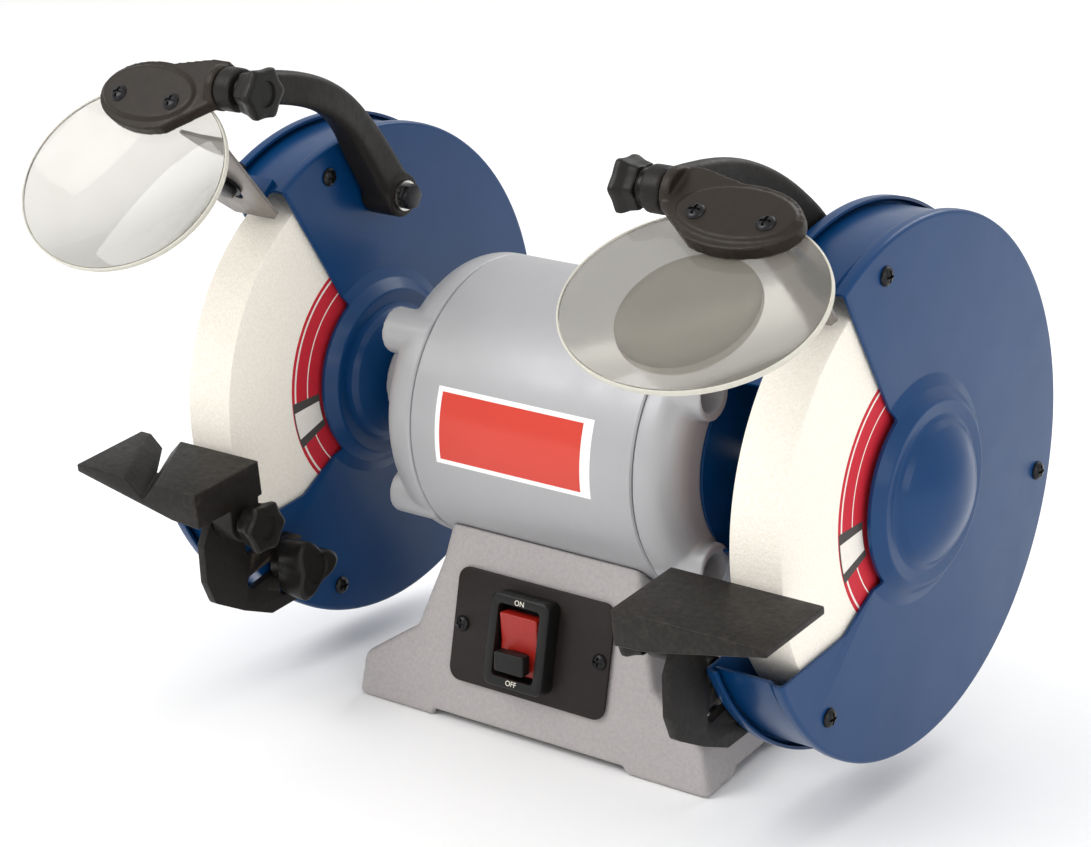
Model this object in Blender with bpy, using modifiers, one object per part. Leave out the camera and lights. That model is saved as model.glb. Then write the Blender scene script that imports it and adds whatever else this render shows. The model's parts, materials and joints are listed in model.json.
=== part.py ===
"""Bench grinder, 8 inch slow speed: two white wheels on one motor shaft.

The shaft runs along X, the user stands on the -Y side and +Z is up.
Every piece hangs from one empty on the shaft's centre, so the lengths below are measured from the shaft.
"""

import math

import bmesh
import bpy
from mathutils import Vector

MM = 0.001
GAP = 0.3 * MM                 # clearance between pieces that touch
RUNNING_GAP = 1.2 * MM         # clearance between the spinning parts and the sheet metal

# Wheels and shaft
WHEEL_RADIUS = 101.5 * MM
WHEEL_WIDTH = 25.0 * MM
WHEEL_X = 145.9 * MM           # from the motor's middle to the middle of a wheel
WHEEL_EDGE = 1.0 * MM
SHAFT_RADIUS = 8.0 * MM
SHAFT_HEIGHT = 136.0 * MM
FLANGE_RADIUS = 36.0 * MM
FLANGE_WIDTH = 5.0 * MM
NUT_RADIUS = 13.7 * MM
NUT_WIDTH = 10.0 * MM

# Wheel guards: a deep cover on the +X side of each wheel and a lipped plate on the -X side
GUARD_CLEARANCE = 13.1 * MM    # from the wheel to the guard's rim
SHEET = 1.4 * MM
LIP_STEP = 2.0 * MM            # the face edge and the lip stand this far out of the rim
BACK_GAP = 7.0 * MM            # from the wheel to the lipped plate
BOSS_RADIUS = 46.0 * MM
BOSS_HEIGHT = 7.0 * MM
DOME_RADIUS = 31.0 * MM
DOME_HEIGHT = 20.0 * MM
MOUTH_RADIUS = 44.0 * MM
MOUTH_TOP_ANGLE = 56.5         # degrees above the -Y direction
MOUTH_BOTTOM_ANGLE = -45.0
MOUTH_KINK = (0.63, -39.8)     # share of the rim's radius, and angle
MOUTH_END_ANGLE = -27.5
SCREW_CIRCLE_INSET = 10.6 * MM
SCREW_ANGLES = {"left": (71.0, 191.0, 289.0), "right": (71.0, 191.0, 311.0)}
SCREW_HEAD_RADIUS = 4.2 * MM
SCREW_RADIUS = 1.9 * MM

# Motor
MOTOR_RADIUS = 65.0 * MM
MOTOR_HALF_LENGTH = 80.0 * MM
BELL_DEPTH = 20.0 * MM
MOTOR_WALL = 3.0 * MM
LUG_RADIUS = 8.5 * MM
LUG_INSET = 8.5 * MM
LUG_REACH = 6.0 * MM
NECK_RADIUS = MOTOR_RADIUS - LUG_INSET - LUG_RADIUS   # the right guard's neck stands inside the ring of lugs
BEARING_RADIUS = 20.0 * MM
BEARING_WIDTH = 12.0 * MM
ROTOR_RADIUS = 29.5 * MM
STACK_HALF_LENGTH = 35.0 * MM
AIR_GAP = 0.8 * MM

# Base
BASE_HALF_WIDTH = 98.0 * MM
BASE_HALF_DEPTH = 61.3 * MM
BASE_WAIST = 8.6 * MM
SKIRT_HEIGHT = 21.3 * MM
FACE_SLOPE = 0.1925            # how far the front leans back for each unit of height
FOOT_LENGTH_X = 44.0 * MM
FOOT_LENGTH_Y = 28.0 * MM
FOOT_RELIEF = 3.5 * MM
BASE_WALL = 5.0 * MM
PEDESTAL_HALF_WIDTH = 55.0 * MM

# Switch
PLATE_WIDTH = 86.0 * MM
PLATE_HEIGHT = 52.0 * MM
PLATE_CORNER = 6.0 * MM
PLATE_THICKNESS = 1.5 * MM
SWITCH_WIDTH = 32.0 * MM
SWITCH_HEIGHT = 42.0 * MM
SWITCH_PROUD = 9.0 * MM
SWITCH_WALL = 5.0 * MM
SWITCH_DEPTH = 24.0 * MM
SWITCH_SHIFT = -1.5 * MM        # the switch sits left of the plate's middle
PADDLE_REST = 9.0              # degrees that the paddle leans in its OFF position

# Eye shields
ARM_LENGTH = 127.0 * MM
ARM_RISE = 19.5 * MM
ARM_HEIGHT = 15.0 * MM
ARM_WIDTH = 18.0 * MM
ARM_PIVOT_INSET = 27.8 * MM    # from the rim in to the pivot bolt
ARM_PIVOT_ANGLE = 87.7
EYE_X = 112.2 * MM             # middle of the arm's eye
EYE_WIDTH = 9.0 * MM
EYE_RADIUS = 9.5 * MM
STUD_RADIUS = 3.0 * MM
LENS_X = 152.6 * MM
LENS_HALF_WIDTH = 55.1 * MM
LENS_HALF_HEIGHT = 44.8 * MM
LENS_THICKNESS = 2.5 * MM
LENS_DROP = 3.0 * MM
LENS_REACH = 47.0 * MM         # from the hinge to the middle of the lens
PAD_HALF_WIDTH = 28.5 * MM
PAD_HALF_HEIGHT = 16.5 * MM
PAD_REACH = 10.5 * MM
PAD_THICKNESS = 7.6 * MM
SHIELD_POSE = {"left": (31.5, 50.0), "right": (26.0, 33.4)}   # arm rise and lens slope

# Spark arrestors
ARRESTOR_WIDTH = 34.0 * MM
ARRESTOR_LENGTH = 50.0 * MM
ARRESTOR_THICKNESS = 1.6 * MM
ARRESTOR_SLOPE = 48.7
ARRESTOR_TIP_GAP = 5.2 * MM
ARRESTOR_TIP_ANGLE = 53.3
ARRESTOR_SLOT = (12.0 * MM, 43.0 * MM)
ARRESTOR_BOLT = 22.5 * MM

# Tool rests
REST_GAP = 3.0 * MM
REST_WIDTH = 72.0 * MM
REST_DEPTH = 41.0 * MM
REST_TOP = -14.0 * MM
REST_SLOPE = 7.0
REST_TIP = 3.6 * MM
REST_ROOT = 16.5 * MM
REST_LUG = {"left": 12.0 * MM, "right": 12.0 * MM}
BRACKET_THICKNESS = 4.0 * MM
BRACKET_PIVOT = (-114.0 * MM, -40.0 * MM)
BRACKET_SLOT = (44.0 * MM, 13.5)          # length and slope
BRACKET_BOLT = (-78.0 * MM, -71.0 * MM)
GROOVE_WIDTH = 18.0 * MM
GROOVE_SLANT = 30.0
KNOB_RADIUS = 15.0 * MM
SMALL_KNOB_RADIUS = 12.0 * MM

ROUND_STEPS = 40
SMALL_STEPS = 16

GUARD_RADIUS = WHEEL_RADIUS + GUARD_CLEARANCE
LIP_RADIUS = GUARD_RADIUS + LIP_STEP
FACE = WHEEL_WIDTH / 2 + RUNNING_GAP + SHEET
BACK = -(WHEEL_WIDTH / 2 + BACK_GAP + SHEET)
BELL_SEAM = MOTOR_HALF_LENGTH - BELL_DEPTH
SHAFT_END = WHEEL_WIDTH / 2 + FLANGE_WIDTH + NUT_WIDTH + 3 * MM
MOTOR_SIDE_FACE = {"left": WHEEL_X - FACE, "right": WHEEL_X + BACK}
SIDE = {"left": -1.0, "right": 1.0}

for old in list(bpy.data.objects):
    bpy.data.objects.remove(old, do_unlink=True)


def make_collection(name):
    """A collection linked to the scene."""
    collection = bpy.data.collections.new(name)
    bpy.context.scene.collection.children.link(collection)
    return collection


PARTS = make_collection("bench_grinder")
CUTTERS = make_collection("cutters")


def material(name, color, roughness, metallic=0.0):
    """A Principled material in one colour."""
    mat = bpy.data.materials.new(name)
    mat.use_nodes = True
    shader = mat.node_tree.nodes["Principled BSDF"]
    shader.inputs["Base Color"].default_value = (*color, 1.0)
    shader.inputs["Roughness"].default_value = roughness
    shader.inputs["Metallic"].default_value = metallic
    return mat


GREY_CASTING = material("grey_textured_paint", (0.52, 0.50, 0.49), 0.6)
GREY_PAINT = material("grey_metallic_paint", (0.47, 0.48, 0.50), 0.35, 0.3)
BLUE_PAINT = material("blue_enamel", (0.01, 0.09, 0.22), 0.3)
WHITE_STONE = material("white_alumina", (0.85, 0.82, 0.76), 0.9)
STEEL = material("zinc_plated_steel", (0.55, 0.55, 0.55), 0.35, 1.0)
BLACK_CASTING = material("black_painted_iron", (0.03, 0.028, 0.025), 0.55)
BLACK_PLASTIC = material("black_plastic", (0.02, 0.02, 0.02), 0.45)
RED_PLASTIC = material("red_plastic", (0.6, 0.03, 0.02), 0.4)
CLEAR_PLASTIC = material("clear_polycarbonate", (0.85, 0.85, 0.8), 0.1)
IRON = material("laminated_iron", (0.25, 0.25, 0.26), 0.5, 0.8)
BARE_SHEET = material("galvanised_sheet", (0.35, 0.34, 0.33), 0.45, 0.8)


def empty(name, parent=None, location=(0, 0, 0), turn_x=0.0):
    """An empty, turned about X by turn_x degrees."""
    obj = bpy.data.objects.new(name, None)
    PARTS.objects.link(obj)
    obj.parent = parent
    obj.location = location
    obj.rotation_euler = (math.radians(turn_x), 0, 0)
    return obj


def front_reach(arm_rise, lens_slope):
    """How far a lens reaches in front of the shaft."""
    pivot = (GUARD_RADIUS - ARM_PIVOT_INSET) * math.cos(math.radians(ARM_PIVOT_ANGLE))
    slope = math.radians(lens_slope)
    lens = (LENS_REACH + LENS_HALF_HEIGHT) * math.cos(slope) - (LENS_DROP - LENS_THICKNESS / 2) * math.sin(slope)
    return pivot + ARM_LENGTH * math.cos(math.radians(arm_rise)) + lens


FRONT = max(front_reach(*pose) for pose in SHIELD_POSE.values())
FRAME = empty("shaft_centre", location=(0, (FRONT - LIP_RADIUS - SHEET) / 2, SHAFT_HEIGHT))


def polar(radius, angle):
    """Y and Z of a point at an angle above the -Y direction, in degrees."""
    return (-radius * math.cos(math.radians(angle)), radius * math.sin(math.radians(angle)))


def arc(centre, radius, start, end, count):
    """Points on an arc in a plane, both ends included, angles in degrees from the first axis."""
    points = []
    for i in range(count):
        angle = math.radians(start + (end - start) * i / (count - 1))
        points.append((centre[0] + radius * math.cos(angle), centre[1] + radius * math.sin(angle)))
    return points


def rounded_rectangle(width, height, corner, count=5):
    """A rectangle's outline about the origin, with round corners."""
    x, y = width / 2 - corner, height / 2 - corner
    corners = (((x, y), 0), ((-x, y), 90), ((-x, -y), 180), ((x, -y), 270))
    points = []
    for centre, start in corners:
        points += arc(centre, corner, start, start + 90, count)
    return points


def slot_outline(centre, length, width, slope=0.0, count=7):
    """A slot with round ends, its long axis at a slope in degrees."""
    half = (length - width) / 2
    along = Vector((math.cos(math.radians(slope)), math.sin(math.radians(slope)))) * half
    first = (centre[0] + along.x, centre[1] + along.y)
    second = (centre[0] - along.x, centre[1] - along.y)
    return (arc(first, width / 2, slope - 90, slope + 90, count)
            + arc(second, width / 2, slope + 90, slope + 270, count))


def lobed_outline(radius, depth, lobes=5, count=30):
    """A hand knob's outline, with soft lobes."""
    points = []
    for i in range(count):
        angle = 2 * math.pi * i / count
        r = radius - depth * (1 - math.cos(lobes * angle)) / 2
        points.append((r * math.cos(angle), r * math.sin(angle)))
    return points


def add(name, mesh, mat, parent=None, location=(0, 0, 0), rotation=(0, 0, 0)):
    """A named part; a part with no material is a cutter."""
    obj = bpy.data.objects.new(name, mesh)
    if mat is None:
        CUTTERS.objects.link(obj)
        obj.hide_render = True
        obj.display_type = "WIRE"
    else:
        PARTS.objects.link(obj)
        mesh.materials.append(mat)
    obj.parent = parent or FRAME
    obj.location = location
    obj.rotation_euler = rotation
    return obj


ALONG_X = (0, math.pi / 2, 0)              # turns a local Z axis to X
IN_YZ = (math.pi / 2, 0, math.pi / 2)      # turns local X, Y, Z to Y, Z, X
IN_XZ = (math.pi / 2, 0, 0)                # turns local X, Y, Z to X, Z, -Y


def outward(profile):
    """The profile in the order that makes the spun faces point out of the solid."""
    area = sum(a[0] * b[1] - b[0] * a[1] for a, b in zip(profile, profile[1:] + profile[:1]))
    return profile if area < 0 else profile[::-1]


def turned(name, profile, mat, closed=True, steps=ROUND_STEPS, sheet=False, parent=None, location=(0, 0, 0),
           rotation=ALONG_X):
    """A profile of (radius, height) points spun about the local Z axis; a sheet keeps the order it's given in."""
    mesh = bpy.data.meshes.new(name)
    if not sheet:
        profile = outward(profile)
    edges = [(i, i + 1) for i in range(len(profile) - 1)]
    if closed:
        edges.append((len(profile) - 1, 0))
    mesh.from_pydata([(r, 0, h) for r, h in profile], edges, [])
    obj = add(name, mesh, mat, parent, location, rotation)
    screw = obj.modifiers.new("spin", "SCREW")
    screw.axis = "Z"
    screw.steps = screw.render_steps = steps
    screw.use_merge_vertices = True
    screw.merge_threshold = 1e-6
    return obj


def disc(name, radius, low, high, mat, steps=SMALL_STEPS, edge=0.0, **place):
    """A cylinder along X, with a chamfer on its rims."""
    profile = [(0, high), (radius - edge, high), (radius, high - edge), (radius, low + edge),
               (radius - edge, low), (0, low)]
    if edge == 0.0:
        profile = [(0, high), (radius, high), (radius, low), (0, low)]
    return turned(name, profile, mat, closed=False, steps=steps, **place)


def ring(name, outer, inner, low, high, mat, steps=ROUND_STEPS, **place):
    """A tube along X."""
    return turned(name, [(outer, high), (outer, low), (inner, low), (inner, high)], mat, steps=steps, **place)


def flat(name, outline, low, high, mat, rotation=IN_YZ, parent=None, location=(0, 0, 0)):
    """A flat outline given thickness from low to high along its own normal."""
    curve = bpy.data.curves.new(name, "CURVE")
    curve.dimensions = "2D"
    curve.fill_mode = "BOTH"
    curve.extrude = (high - low) / 2
    spline = curve.splines.new("POLY")
    spline.points.add(len(outline) - 1)
    for point, (x, y) in zip(spline.points, outline):
        point.co = (x, y, 0, 1)
    spline.use_cyclic_u = True
    shape = bpy.data.objects.new(name + "_curve", curve)
    bpy.context.scene.collection.objects.link(shape)
    evaluated = shape.evaluated_get(bpy.context.evaluated_depsgraph_get())
    mesh = bpy.data.meshes.new_from_object(evaluated)
    bpy.data.objects.remove(shape)
    mesh.name = name
    bm = bmesh.new()
    bm.from_mesh(mesh)
    bmesh.ops.translate(bm, vec=(0, 0, (low + high) / 2), verts=bm.verts)
    bmesh.ops.remove_doubles(bm, verts=bm.verts, dist=1e-6)
    bmesh.ops.recalc_face_normals(bm, faces=bm.faces)
    bm.to_mesh(mesh)
    bm.free()
    return add(name, mesh, mat, parent, location, rotation)


def block(name, low, high, mat, parent=None, location=(0, 0, 0), rotation=(0, 0, 0)):
    """A box between two corners."""
    mesh = bpy.data.meshes.new(name)
    bm = bmesh.new()
    bmesh.ops.create_cube(bm, size=1.0)
    size = [b - a for a, b in zip(low, high)]
    centre = [(a + b) / 2 for a, b in zip(low, high)]
    bmesh.ops.scale(bm, vec=size, verts=bm.verts)
    bmesh.ops.translate(bm, vec=centre, verts=bm.verts)
    bm.to_mesh(mesh)
    bm.free()
    return add(name, mesh, mat, parent, location, rotation)


def loft(name, rings, mat, parent=None, location=(0, 0, 0)):
    """A closed skin through rings that have the same number of points."""
    mesh = bpy.data.meshes.new(name)
    bm = bmesh.new()
    rows = [[bm.verts.new(point) for point in points] for points in rings]
    count = len(rows[0])
    for lower, upper in zip(rows, rows[1:]):
        for i in range(count):
            j = (i + 1) % count
            bm.faces.new((lower[i], lower[j], upper[j], upper[i]))
    bm.faces.new(rows[0])
    bm.faces.new(rows[-1])
    bmesh.ops.recalc_face_normals(bm, faces=bm.faces)
    bm.to_mesh(mesh)
    bm.free()
    return add(name, mesh, mat, parent, location)


def boolean(obj, tool, operation="DIFFERENCE"):
    """Cut a tool out of an object, or join it on."""
    modifier = obj.modifiers.new(operation.lower(), "BOOLEAN")
    modifier.operation = operation
    modifier.object = tool
    modifier.solver = "EXACT"


def soften(obj, width, segments=1):
    """Round the sharp edges."""
    bevel = obj.modifiers.new("edges", "BEVEL")
    bevel.width = width
    bevel.segments = segments
    bevel.limit_method = "ANGLE"
    bevel.angle_limit = math.radians(40)


def shell(obj, thickness):
    """Give a surface its sheet thickness, on the side away from its normals."""
    solid = obj.modifiers.new("sheet", "SOLIDIFY")
    solid.thickness = thickness
    solid.offset = -1.0


# ---------------------------------------------------------------- rotor

def build_rotor():
    """Shaft, rotor core, wheels, flanges and nuts: everything that spins."""
    reach = WHEEL_X + SHAFT_END
    disc("shaft", SHAFT_RADIUS, -reach, reach, STEEL, steps=24, edge=1 * MM)
    ring("rotor_core", ROTOR_RADIUS, SHAFT_RADIUS + GAP, -STACK_HALF_LENGTH, STACK_HALF_LENGTH, IRON, steps=24)
    half = WHEEL_WIDTH / 2
    bore = SHAFT_RADIUS + GAP
    edge = WHEEL_RADIUS - WHEEL_EDGE
    wheel = [(edge, half), (WHEEL_RADIUS, half - WHEEL_EDGE), (WHEEL_RADIUS, WHEEL_EDGE - half),
             (edge, -half), (bore, -half), (bore, half)]
    for side, sign in SIDE.items():
        place = (sign * WHEEL_X, 0, 0)
        turned("wheel_" + side, wheel, WHITE_STONE, steps=48, location=place)
        inner_face = -sign * (half + GAP)
        outer_face = sign * (half + GAP)
        nut_face = outer_face + sign * (FLANGE_WIDTH + GAP)
        ring("inner_flange_" + side, FLANGE_RADIUS, bore, *sorted((inner_face, inner_face - sign * FLANGE_WIDTH)),
             STEEL, steps=24, location=place)
        ring("outer_flange_" + side, FLANGE_RADIUS, bore, *sorted((outer_face, outer_face + sign * FLANGE_WIDTH)),
             STEEL, steps=24, location=place)
        nut = flat("arbor_nut_" + side, arc((0, 0), NUT_RADIUS, 0, 300, 6),
                   *sorted((nut_face, nut_face + sign * NUT_WIDTH)), STEEL, location=place)
        boolean(nut, disc("cut_nut_" + side, bore, -2 * FACE, 2 * FACE, None, steps=24, location=place))


# ---------------------------------------------------------------- guards

def mouth_outline():
    """The opening in front of the wheel: a steep top cut, a round stretch about the hub and a kinked bottom cut."""
    far = 1.6 * LIP_RADIUS
    round_part = []
    for i in range(9):
        angle = MOUTH_TOP_ANGLE + (MOUTH_BOTTOM_ANGLE - MOUTH_TOP_ANGLE) * i / 8
        round_part.append(polar(MOUTH_RADIUS, angle))
    kink = polar(MOUTH_KINK[0] * LIP_RADIUS, MOUTH_KINK[1])
    end = Vector(polar(LIP_RADIUS, MOUTH_END_ANGLE))
    beyond = end + (end - Vector(kink)).normalized() * far / 2
    return [polar(far, MOUTH_TOP_ANGLE)] + round_part + [kink, tuple(beyond), polar(far, 10.0)]


def boss_profile(face, outward, hole):
    """The pressed ring and dome about the shaft, from the middle out to the flat face."""
    dome = [(0.0, 1.0), (0.42, 0.965), (0.72, 0.83), (0.92, 0.62), (1.0, 0.40)]
    points = [(DOME_RADIUS * r, face + outward * DOME_HEIGHT * h) for r, h in dome]
    if hole:
        points = [(hole, points[0][1])] + [point for point in points if point[0] > hole]
    points += [(DOME_RADIUS * 1.06, face + outward * BOSS_HEIGHT * 0.97), (BOSS_RADIUS - 6 * MM, face + outward * BOSS_HEIGHT),
               (BOSS_RADIUS - 2.5 * MM, face + outward * BOSS_HEIGHT * 0.55), (BOSS_RADIUS + 1 * MM, face)]
    return points


def guard_cover(side, sign):
    """The deep cover on the wheel's +X side, with its pressed boss, rim and arrestor tab."""
    hole = SHAFT_RADIUS + 5 * MM if side == "left" else 0.0
    profile = boss_profile(FACE, 1.0, hole)
    profile += [(LIP_RADIUS - 1.5 * MM, FACE), (LIP_RADIUS, FACE - 1.5 * MM), (LIP_RADIUS, FACE - 4 * MM),
                (GUARD_RADIUS, FACE - 6 * MM), (GUARD_RADIUS, BACK + SHEET + GAP + 1 * MM)]
    place = (sign * WHEEL_X, 0, 0)
    cover = turned("guard_cover_" + side, profile, BLUE_PAINT, closed=False, sheet=True, location=place)
    shell(cover, SHEET)
    boolean(cover, flat("cut_mouth_" + side, mouth_outline(), 2 * BACK, 4 * FACE, None, location=place))
    for i, angle in enumerate(SCREW_ANGLES[side]):
        y, z = polar(GUARD_RADIUS - SCREW_CIRCLE_INSET, angle)
        spot = (sign * WHEEL_X, y, z)
        boolean(cover, disc("cut_screw_%s_%d" % (side, i), SCREW_RADIUS + GAP, 0, 2 * FACE, None, location=spot))
        head = [(0, FACE + GAP + 2.4 * MM), (SCREW_HEAD_RADIUS * 0.6, FACE + GAP + 2.2 * MM),
                (SCREW_HEAD_RADIUS, FACE + GAP + 0.9 * MM), (SCREW_HEAD_RADIUS, FACE + GAP),
                (SCREW_RADIUS, FACE + GAP), (SCREW_RADIUS, FACE - 7 * MM), (0, FACE - 7 * MM)]
        turned("cover_screw_%s_%d" % (side, i + 1), head, STEEL, closed=False, steps=12, location=spot)
    boolean(cover, arrestor_tab(side, sign), "UNION")
    if side == "left":
        boolean(cover, disc("cut_rest_stud_left", STUD_RADIUS + 0.4 * MM, 0, 2 * FACE, None,
                            location=(sign * WHEEL_X, *BRACKET_BOLT)))


def guard_back(side, sign):
    """The lipped plate on the wheel's -X side; on the right it carries the neck to the motor."""
    if side == "left":
        profile = [(r, h) for r, h in boss_profile(BACK, -1.0, 0.0)]
    else:
        neck_end = MOTOR_HALF_LENGTH + GAP - WHEEL_X
        profile = [(SHAFT_RADIUS + 5 * MM, neck_end), (NECK_RADIUS - 2 * MM, neck_end), (NECK_RADIUS, neck_end + 2 * MM),
                   (NECK_RADIUS, BACK - 3 * MM), (NECK_RADIUS + 3 * MM, BACK)]
    profile += [(LIP_RADIUS + SHEET - 1.5 * MM, BACK), (LIP_RADIUS + SHEET, BACK + 1.5 * MM),
                (LIP_RADIUS + SHEET, BACK + 5.5 * MM)]
    place = (sign * WHEEL_X, 0, 0)
    plate = turned("guard_back_" + side, profile[::-1], BLUE_PAINT, closed=False, sheet=True, location=place)
    shell(plate, SHEET)
    boolean(plate, flat("cut_back_mouth_" + side, mouth_outline(), 2 * BACK, 4 * FACE, None, location=place))
    if side == "right":
        boolean(plate, disc("cut_rest_stud_right", STUD_RADIUS + 0.4 * MM, 1.5 * BACK, 0, None,
                            location=(sign * WHEEL_X, *BRACKET_BOLT)))


# ---------------------------------------------------------------- spark arrestors

def arrestor_frame(side, sign):
    """An empty on the arrestor's lower edge: local Y runs up the plate and local Z out of its front."""
    y, z = polar(WHEEL_RADIUS + ARRESTOR_TIP_GAP, ARRESTOR_TIP_ANGLE)
    frame = empty("arrestor_frame_" + side, FRAME, (sign * WHEEL_X + (FACE + BACK) / 2, y, z))
    frame.rotation_euler = (math.radians(180 - ARRESTOR_SLOPE), 0, 0)
    return frame


ARRESTOR_FRAMES = {}


def arrestor_tab(side, sign):
    """The bent tab on the cover's rim that the arrestor is bolted to, with the bolt's hole."""
    frame = arrestor_frame(side, sign)
    ARRESTOR_FRAMES[side] = frame
    tab = block("join_tab_" + side, (-8 * MM, 5 * MM, -2 * MM), (8 * MM, ARRESTOR_BOLT + 6 * MM, 0), None, parent=frame)
    foot = block("join_tab_foot_" + side, (-8 * MM, 5 * MM, -14 * MM), (8 * MM, 10 * MM, -1 * MM), None, parent=frame)
    boolean(tab, foot, "UNION")
    boolean(tab, disc("cut_tab_" + side, STUD_RADIUS + GAP, -0.02, 0.02, None, parent=frame,
                      location=(0, ARRESTOR_BOLT, 0), rotation=(0, 0, 0)))
    return tab


def build_arrestor(side):
    """A slotted plate that closes the guard above the wheel, with its bolt."""
    frame = ARRESTOR_FRAMES[side]
    half = ARRESTOR_WIDTH / 2
    corner = 4 * MM
    outline = [(-half, ARRESTOR_LENGTH), (-half, 6 * MM), (6 * MM - half, 0), (half - corner, 0), (half, corner),
               (half, ARRESTOR_LENGTH)]
    plate = flat("spark_arrestor_" + side, outline, GAP, GAP + ARRESTOR_THICKNESS, BARE_SHEET,
                 rotation=(0, 0, 0), parent=frame)
    low, high = ARRESTOR_SLOT
    boolean(plate, flat("cut_arrestor_" + side, slot_outline((0, (low + high) / 2), high - low, 7 * MM, 90),
                        -0.01, 0.01, None, rotation=(0, 0, 0), parent=frame))
    head = 2 * GAP + ARRESTOR_THICKNESS
    bolt = [(0, head + 4 * MM), (4.9 * MM, head + 4 * MM), (5.2 * MM, head + 3.6 * MM), (5.2 * MM, head),
            (STUD_RADIUS, head), (STUD_RADIUS, -9 * MM), (0, -9 * MM)]
    turned("arrestor_bolt_" + side, bolt, STEEL, closed=False, steps=12, parent=frame,
           location=(0, ARRESTOR_BOLT, 0), rotation=(0, 0, 0))


# ---------------------------------------------------------------- motor

def build_motor():
    """Steel shell, two end bells with tie bolt lugs, stator and bearings."""
    seam = BELL_SEAM
    ring("motor_shell", MOTOR_RADIUS, MOTOR_RADIUS - MOTOR_WALL, GAP - seam, seam - GAP, GREY_PAINT)
    stator_radius = MOTOR_RADIUS - MOTOR_WALL - GAP
    bore = ROTOR_RADIUS + AIR_GAP
    winding = STACK_HALF_LENGTH + 14 * MM
    outer_winding = stator_radius - 7 * MM
    stack = STACK_HALF_LENGTH
    stator = [(outer_winding, winding), (outer_winding, stack), (stator_radius, stack), (stator_radius, -stack),
              (outer_winding, -stack), (outer_winding, -winding), (bore + 4 * MM, -winding), (bore + 4 * MM, -stack),
              (bore, -stack), (bore, stack), (bore + 4 * MM, stack), (bore + 4 * MM, winding)]
    turned("stator", stator, IRON, steps=32)
    build_bell("left", -1.0, WHEEL_X - FACE - DOME_HEIGHT - GAP)
    build_bell("right", 1.0, MOTOR_HALF_LENGTH)


def build_bell(side, sign, neck_end):
    """A rounded end bell, its bearing seat, four lugs and, on the left, the neck to the guard."""
    end, seam, wall = MOTOR_HALF_LENGTH, BELL_SEAM, MOTOR_WALL + 0.5 * MM
    seat = BEARING_RADIUS + GAP
    hole = SHAFT_RADIUS + 1.5 * MM
    inside = end - wall
    outer = [(hole, neck_end)]
    if neck_end > end:
        outer += [(DOME_RADIUS * 0.7, neck_end), (DOME_RADIUS * 0.7, end)]
    rounding = BELL_DEPTH - 5 * MM
    for angle in (90, 65, 45, 25, 0):
        a = math.radians(angle)
        outer.append((MOTOR_RADIUS - rounding * (1 - math.cos(a)), end - rounding * (1 - math.sin(a))))
    outer.append((MOTOR_RADIUS, seam))
    inner = [(MOTOR_RADIUS - wall, seam), (MOTOR_RADIUS - wall, end - rounding), (MOTOR_RADIUS - rounding, inside),
             (seat + 3 * MM, inside), (seat + 3 * MM, seam), (seat, seam), (seat, inside), (hole, inside)]
    profile = [(r, sign * h) for r, h in outer + inner]
    bell = turned("end_bell_" + side, profile, GREY_PAINT)
    reach = end + LUG_REACH
    for i in range(4):
        y, z = polar(MOTOR_RADIUS - LUG_INSET, 45 + 90 * i)
        lug = disc("join_lug_%s_%d" % (side, i), LUG_RADIUS, *sorted((sign * seam, sign * reach)), None,
                   edge=1.5 * MM, location=(0, y, z))
        boolean(bell, lug, "UNION")
        pocket = disc("cut_lug_%s_%d" % (side, i), LUG_RADIUS - 2.5 * MM,
                      *sorted((sign * (end - 7 * MM), sign * (reach + 5 * MM))), None, location=(0, y, z))
        boolean(bell, pocket)
    boolean(bell, ring("cut_bell_" + side, MOTOR_RADIUS * 1.3, MOTOR_RADIUS + 1.5 * MM, -2 * end, 2 * end, None))
    ends = sorted((sign * (inside - GAP), sign * (inside - GAP - BEARING_WIDTH)))
    ring("bearing_" + side, BEARING_RADIUS, SHAFT_RADIUS + GAP, *ends, STEEL, steps=24)


# ---------------------------------------------------------------- base

def face_y(height):
    """Depth of the pedestal's front at a height above the skirt's top."""
    return BASE_HALF_DEPTH - 1.3 * MM - height * FACE_SLOPE


def plan(half_width, half_depth, waist):
    """A ring with pinched sides, seen from above."""
    return [(-half_width, -half_depth), (0, -half_depth), (half_width, -half_depth), (half_width - waist, 0),
            (half_width, half_depth), (0, half_depth), (-half_width, half_depth), (waist - half_width, 0)]


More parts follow.
